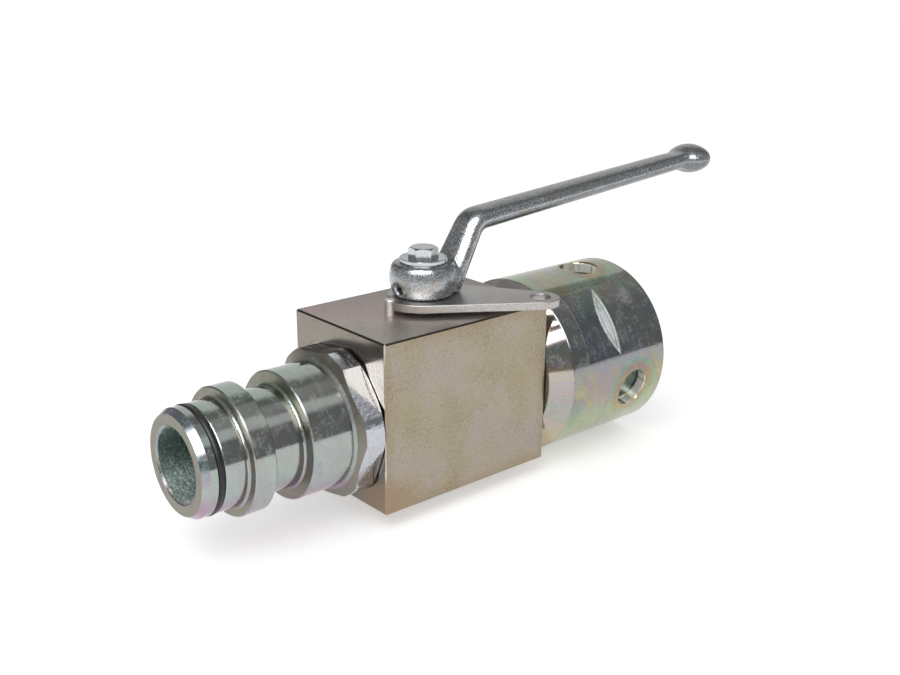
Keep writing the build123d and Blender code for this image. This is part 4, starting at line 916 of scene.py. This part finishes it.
# %% Centre line of the lever
OVAL = 2.2                           # 2 is an ellipse, more is squarer
WIDER, DEEPER = 1.04, 1.15           # the oval reaches a little past the slab
FOOT_HALF, BEND_HALF, KNOB_HALF = (11.1, 5.3), (8.5, 5.1), (7.5, 4.5)     # half width and depth, in mm
FOOT_X, BEND_X, KNOB_X = 11.9 * MM, 31.5 * MM, 194.2 * MM
BEND_R = 9.0 * MM
lever_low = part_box("lever")[0]
arm_rise, bar_rise = math.radians(59.5), math.radians(4.65)
arm_way = Vector((math.cos(arm_rise), math.sin(arm_rise)))
bar_way = Vector((math.cos(bar_rise), math.sin(bar_rise)))
arm_foot = Vector((FOOT_X, lever_low.z))
bend = Vector((BEND_X, lever_low.z + 19.6 * MM * math.tan(arm_rise)))
trim = BEND_R * math.tan((arm_rise - bar_rise) / 2)
bend_in = bend - trim * arm_way
bend_mid = bend_in + BEND_R * Vector((arm_way.y, -arm_way.x))
arm_len = (bend_in - arm_foot).length
bar_len = (KNOB_X - bend.x) / bar_way.x


def smooth_step(value, low, high):
    """0 below low, 1 above high, and a smooth rise between."""
    share = min(max((value - low) / (high - low), 0.0), 1.0)
    return share * share * (3 - 2 * share)


def oval(co):
    """Draw the slab section of the arm and the bar to an oval about the centre line."""
    spot = Vector((co.x, co.z))
    if (spot - bend_mid) @ arm_way < 0:
        run = (spot - arm_foot) @ arm_way
        out = Vector((-arm_way.y, arm_way.x))
        thick = (spot - arm_foot) @ out
        ends, along = (FOOT_HALF, BEND_HALF), run / arm_len
        share = smooth_step(run, 8 * MM, 19 * MM)
    elif (spot - bend_mid) @ bar_way < 0:
        out = (spot - bend_mid).normalized()
        thick = (spot - bend_mid).length - BEND_R
        ends, along, share = (BEND_HALF, BEND_HALF), 0.0, 1.0
    else:
        run = (spot - bend) @ bar_way
        out = Vector((-bar_way.y, bar_way.x))
        thick = (spot - bend) @ out
        ends, along = (BEND_HALF, KNOB_HALF), min(max(run / bar_len, 0.0), 1.0)
        share = 1 - smooth_step(run, bar_len - 9 * MM, bar_len + 1 * MM)
    wide, deep = (a + (b - a) * along for a, b in zip(*ends))
    u, v = abs(co.y) / (WIDER * wide * MM), abs(thick) / (DEEPER * deep * MM)
    off = (u ** OVAL + v ** OVAL) ** (1 / OVAL)
    share *= 1 - smooth_step(off, 1.3, 1.8)
    if share == 0 or off < 0.5:
        return co
    scale = 1 + share * (1 / off - 1)
    moved = spot + out * thick * (scale - 1)
    return Vector((moved.x, co.y * scale, moved.y))


print("arm", round(arm_len / MM, 1), "mm, bar", round(bar_len / MM, 1), "mm")

# %% [markdown]
# The even mesh comes from a voxel remesh at 0.8 mm, fine enough for the valley beside the boss. The
# copy is made a plain mesh, so the modifier is gone.

# %% The cast lever
GRID = 0.8 * MM
RELAX_STEPS = 8

rough_lever = bpy.data.objects.new("lever_even", nodes["lever"].data.copy())
bpy.context.scene.collection.objects.link(rough_lever)
evened = rough_lever.modifiers.new("even", "REMESH")
evened.mode = "VOXEL"
evened.voxel_size = GRID
lever_mesh = bpy.data.meshes.new_from_object(
    rough_lever.evaluated_get(bpy.context.evaluated_depsgraph_get()))
bpy.data.objects.remove(rough_lever)
lever_mesh.name = "lever_casting"
skin = bmesh.new()
skin.from_mesh(lever_mesh)
for vertex in skin.verts:
    vertex.co = oval(vertex.co)
for step in range(RELAX_STEPS):
    bmesh.ops.smooth_vert(skin, verts=skin.verts, factor=0.5, use_axis_x=True, use_axis_y=True,
                          use_axis_z=True)
skin.to_mesh(lever_mesh)
skin.free()
lever_mesh.polygons.foreach_set("use_smooth", [True] * len(lever_mesh.polygons))
lever_piece = bpy.data.objects.new("lever_casting", lever_mesh)
bpy.context.scene.collection.objects.link(lever_piece)
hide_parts("lever")
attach(lever_piece, "closing_gear")
print("lever faces:", len(lever_mesh.polygons))

# %% [markdown]
# A thread is one ridge that runs along a helix, so a node group makes it: a trapezoid is swept along a
# spiral, and the pitch, the length and both radii stay adjustable. The ridge of a metric thread is
# seven eighths of the pitch wide at its root and a quarter at its crest. It starts a little inside
# the nut's wall, so that no gap shows.

# %% The thread as a node group
ROOT_HALF, CREST_HALF = 7 / 16, 1 / 8        # half widths of the ridge, as shares of the pitch
BITE = 0.15 * MM                             # how deep the ridge starts inside the wall
thread_nodes = bpy.data.node_groups.new("inside_thread", "GeometryNodeTree")
SIZES = {"Pitch": PITCH, "Crest Radius": THREAD_CREST, "Root Radius": THREAD_ROOT, "Length": THREAD_LEN,
         "Start": THREAD_START, "Axis Height": FLOW_H}
sockets = {name: thread_nodes.interface.new_socket(name, in_out="INPUT", socket_type="NodeSocketFloat")
           for name in SIZES}
sockets["Finish"] = thread_nodes.interface.new_socket("Finish", in_out="INPUT",
                                                      socket_type="NodeSocketMaterial")
thread_nodes.interface.new_socket("Geometry", in_out="OUTPUT", socket_type="NodeSocketGeometry")
given = add(thread_nodes, "NodeGroupInput").outputs
turns = add(thread_nodes, "Math", (given["Length"], given["Pitch"]), operation="DIVIDE")
helix = add(thread_nodes, "GeometryNodeCurveSpiral",
            {"Resolution": 120, "Rotations": turns, "Start Radius": given["Root Radius"],
             "End Radius": given["Root Radius"], "Height": given["Length"]})
upright = add(thread_nodes, "GeometryNodeSetCurveNormal", {"Curve": helix}, mode="Z_UP")
depth = add(thread_nodes, "Math", (given["Root Radius"], given["Crest Radius"]), operation="SUBTRACT")
corners = {}
for corner, (inward, half, side) in enumerate(
        ((-BITE, ROOT_HALF, -1), (depth, CREST_HALF, -1), (depth, CREST_HALF, 1), (-BITE, ROOT_HALF, 1)), 1):
    half_width = add(thread_nodes, "Math", (given["Pitch"], half), operation="MULTIPLY")
    across = add(thread_nodes, "Math", (half_width, side), operation="MULTIPLY")
    corners[f"Point {corner}"] = add(thread_nodes, "CombineXYZ", (inward, across))
profile = add(thread_nodes, "GeometryNodeCurvePrimitiveQuadrilateral", corners, mode="POINTS")
ridge = add(thread_nodes, "GeometryNodeCurveToMesh", {"Curve": upright, "Profile Curve": profile,
                                                      "Fill Caps": True})
origin = add(thread_nodes, "CombineXYZ", {0: given["Start"], 2: given["Axis Height"]})
placed = add(thread_nodes, "GeometryNodeTransform", {"Geometry": ridge, "Translation": origin,
                                                     "Rotation": (0, math.pi / 2, 0)})
real = add(thread_nodes, "GeometryNodeRealizeInstances", {"Geometry": placed})
coated = add(thread_nodes, "GeometryNodeSetMaterial", {"Geometry": real, "Material": given["Finish"]})
add(thread_nodes, "NodeGroupOutput", {"Geometry": coated})
print("thread turns:", round(THREAD_LEN / PITCH, 1))

# %% [markdown]
# An empty mesh carries the node group only as long as it takes to make the ridge a plain mesh. It
# rides with the nut.

# %% The nut's thread
blank = bpy.data.objects.new("thread_blank", bpy.data.meshes.new("thread_blank"))
bpy.context.scene.collection.objects.link(blank)
grown = blank.modifiers.new("inside_thread", "NODES")
grown.node_group = thread_nodes
for name, value in SIZES.items():
    grown[sockets[name].identifier] = value
grown[sockets["Finish"].identifier] = yellow_zinc
thread_mesh = bpy.data.meshes.new_from_object(blank.evaluated_get(bpy.context.evaluated_depsgraph_get()))
bpy.data.objects.remove(blank)
thread_mesh.name = "union_nut_thread"
thread_piece = bpy.data.objects.new("union_nut_thread", thread_mesh)
bpy.context.scene.collection.objects.link(thread_piece)
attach(thread_piece, "nut")
reach = [math.hypot(v.co.y, v.co.z - FLOW_H) / MM for v in thread_mesh.vertices]
print("thread from radius", round(min(reach), 2), "to", round(max(reach), 2), "mm, faces:",
      len(thread_mesh.polygons))

# %% [markdown]
# Each measured piece keeps its shape and takes the finish of its real one, and so does the copy that
# stands for it.

# %% Finishes on the pieces
FINISHES = {
    "valve_block": drawn_zinc, "plug_adapter": blue_zinc, "tail_adapter": blue_zinc,
    "union_nut": yellow_zinc, "lever": cast_zinc, "stop_plate": sheet_zinc, "stop_pin": pin_steel,
    "lever_washer": bright_steel, "lever_screw": bright_steel, "grub_screw": black_steel,
    "spindle": spindle_steel, "ball": chrome, "seat_left": seat_plastic, "seat_right": seat_plastic,
    "thrust_washer": seat_plastic, "plug_seal": rubber, "plug_port_seal": rubber,
    "tail_port_seal": rubber, "seat_seals": rubber, "spindle_seals": rubber,
}
STANDS_FOR = {"union_nut": nut_piece, "plug_adapter": plug_piece, "plug_seal": seal_piece,
              "lever": lever_piece}
for name, finish in FINISHES.items():
    for piece in filter(None, (nodes[name], STANDS_FOR.get(name))):
        piece.data.materials.clear()
        piece.data.materials.append(finish)
print("pieces finished:", len(FINISHES), "of", len(nodes))
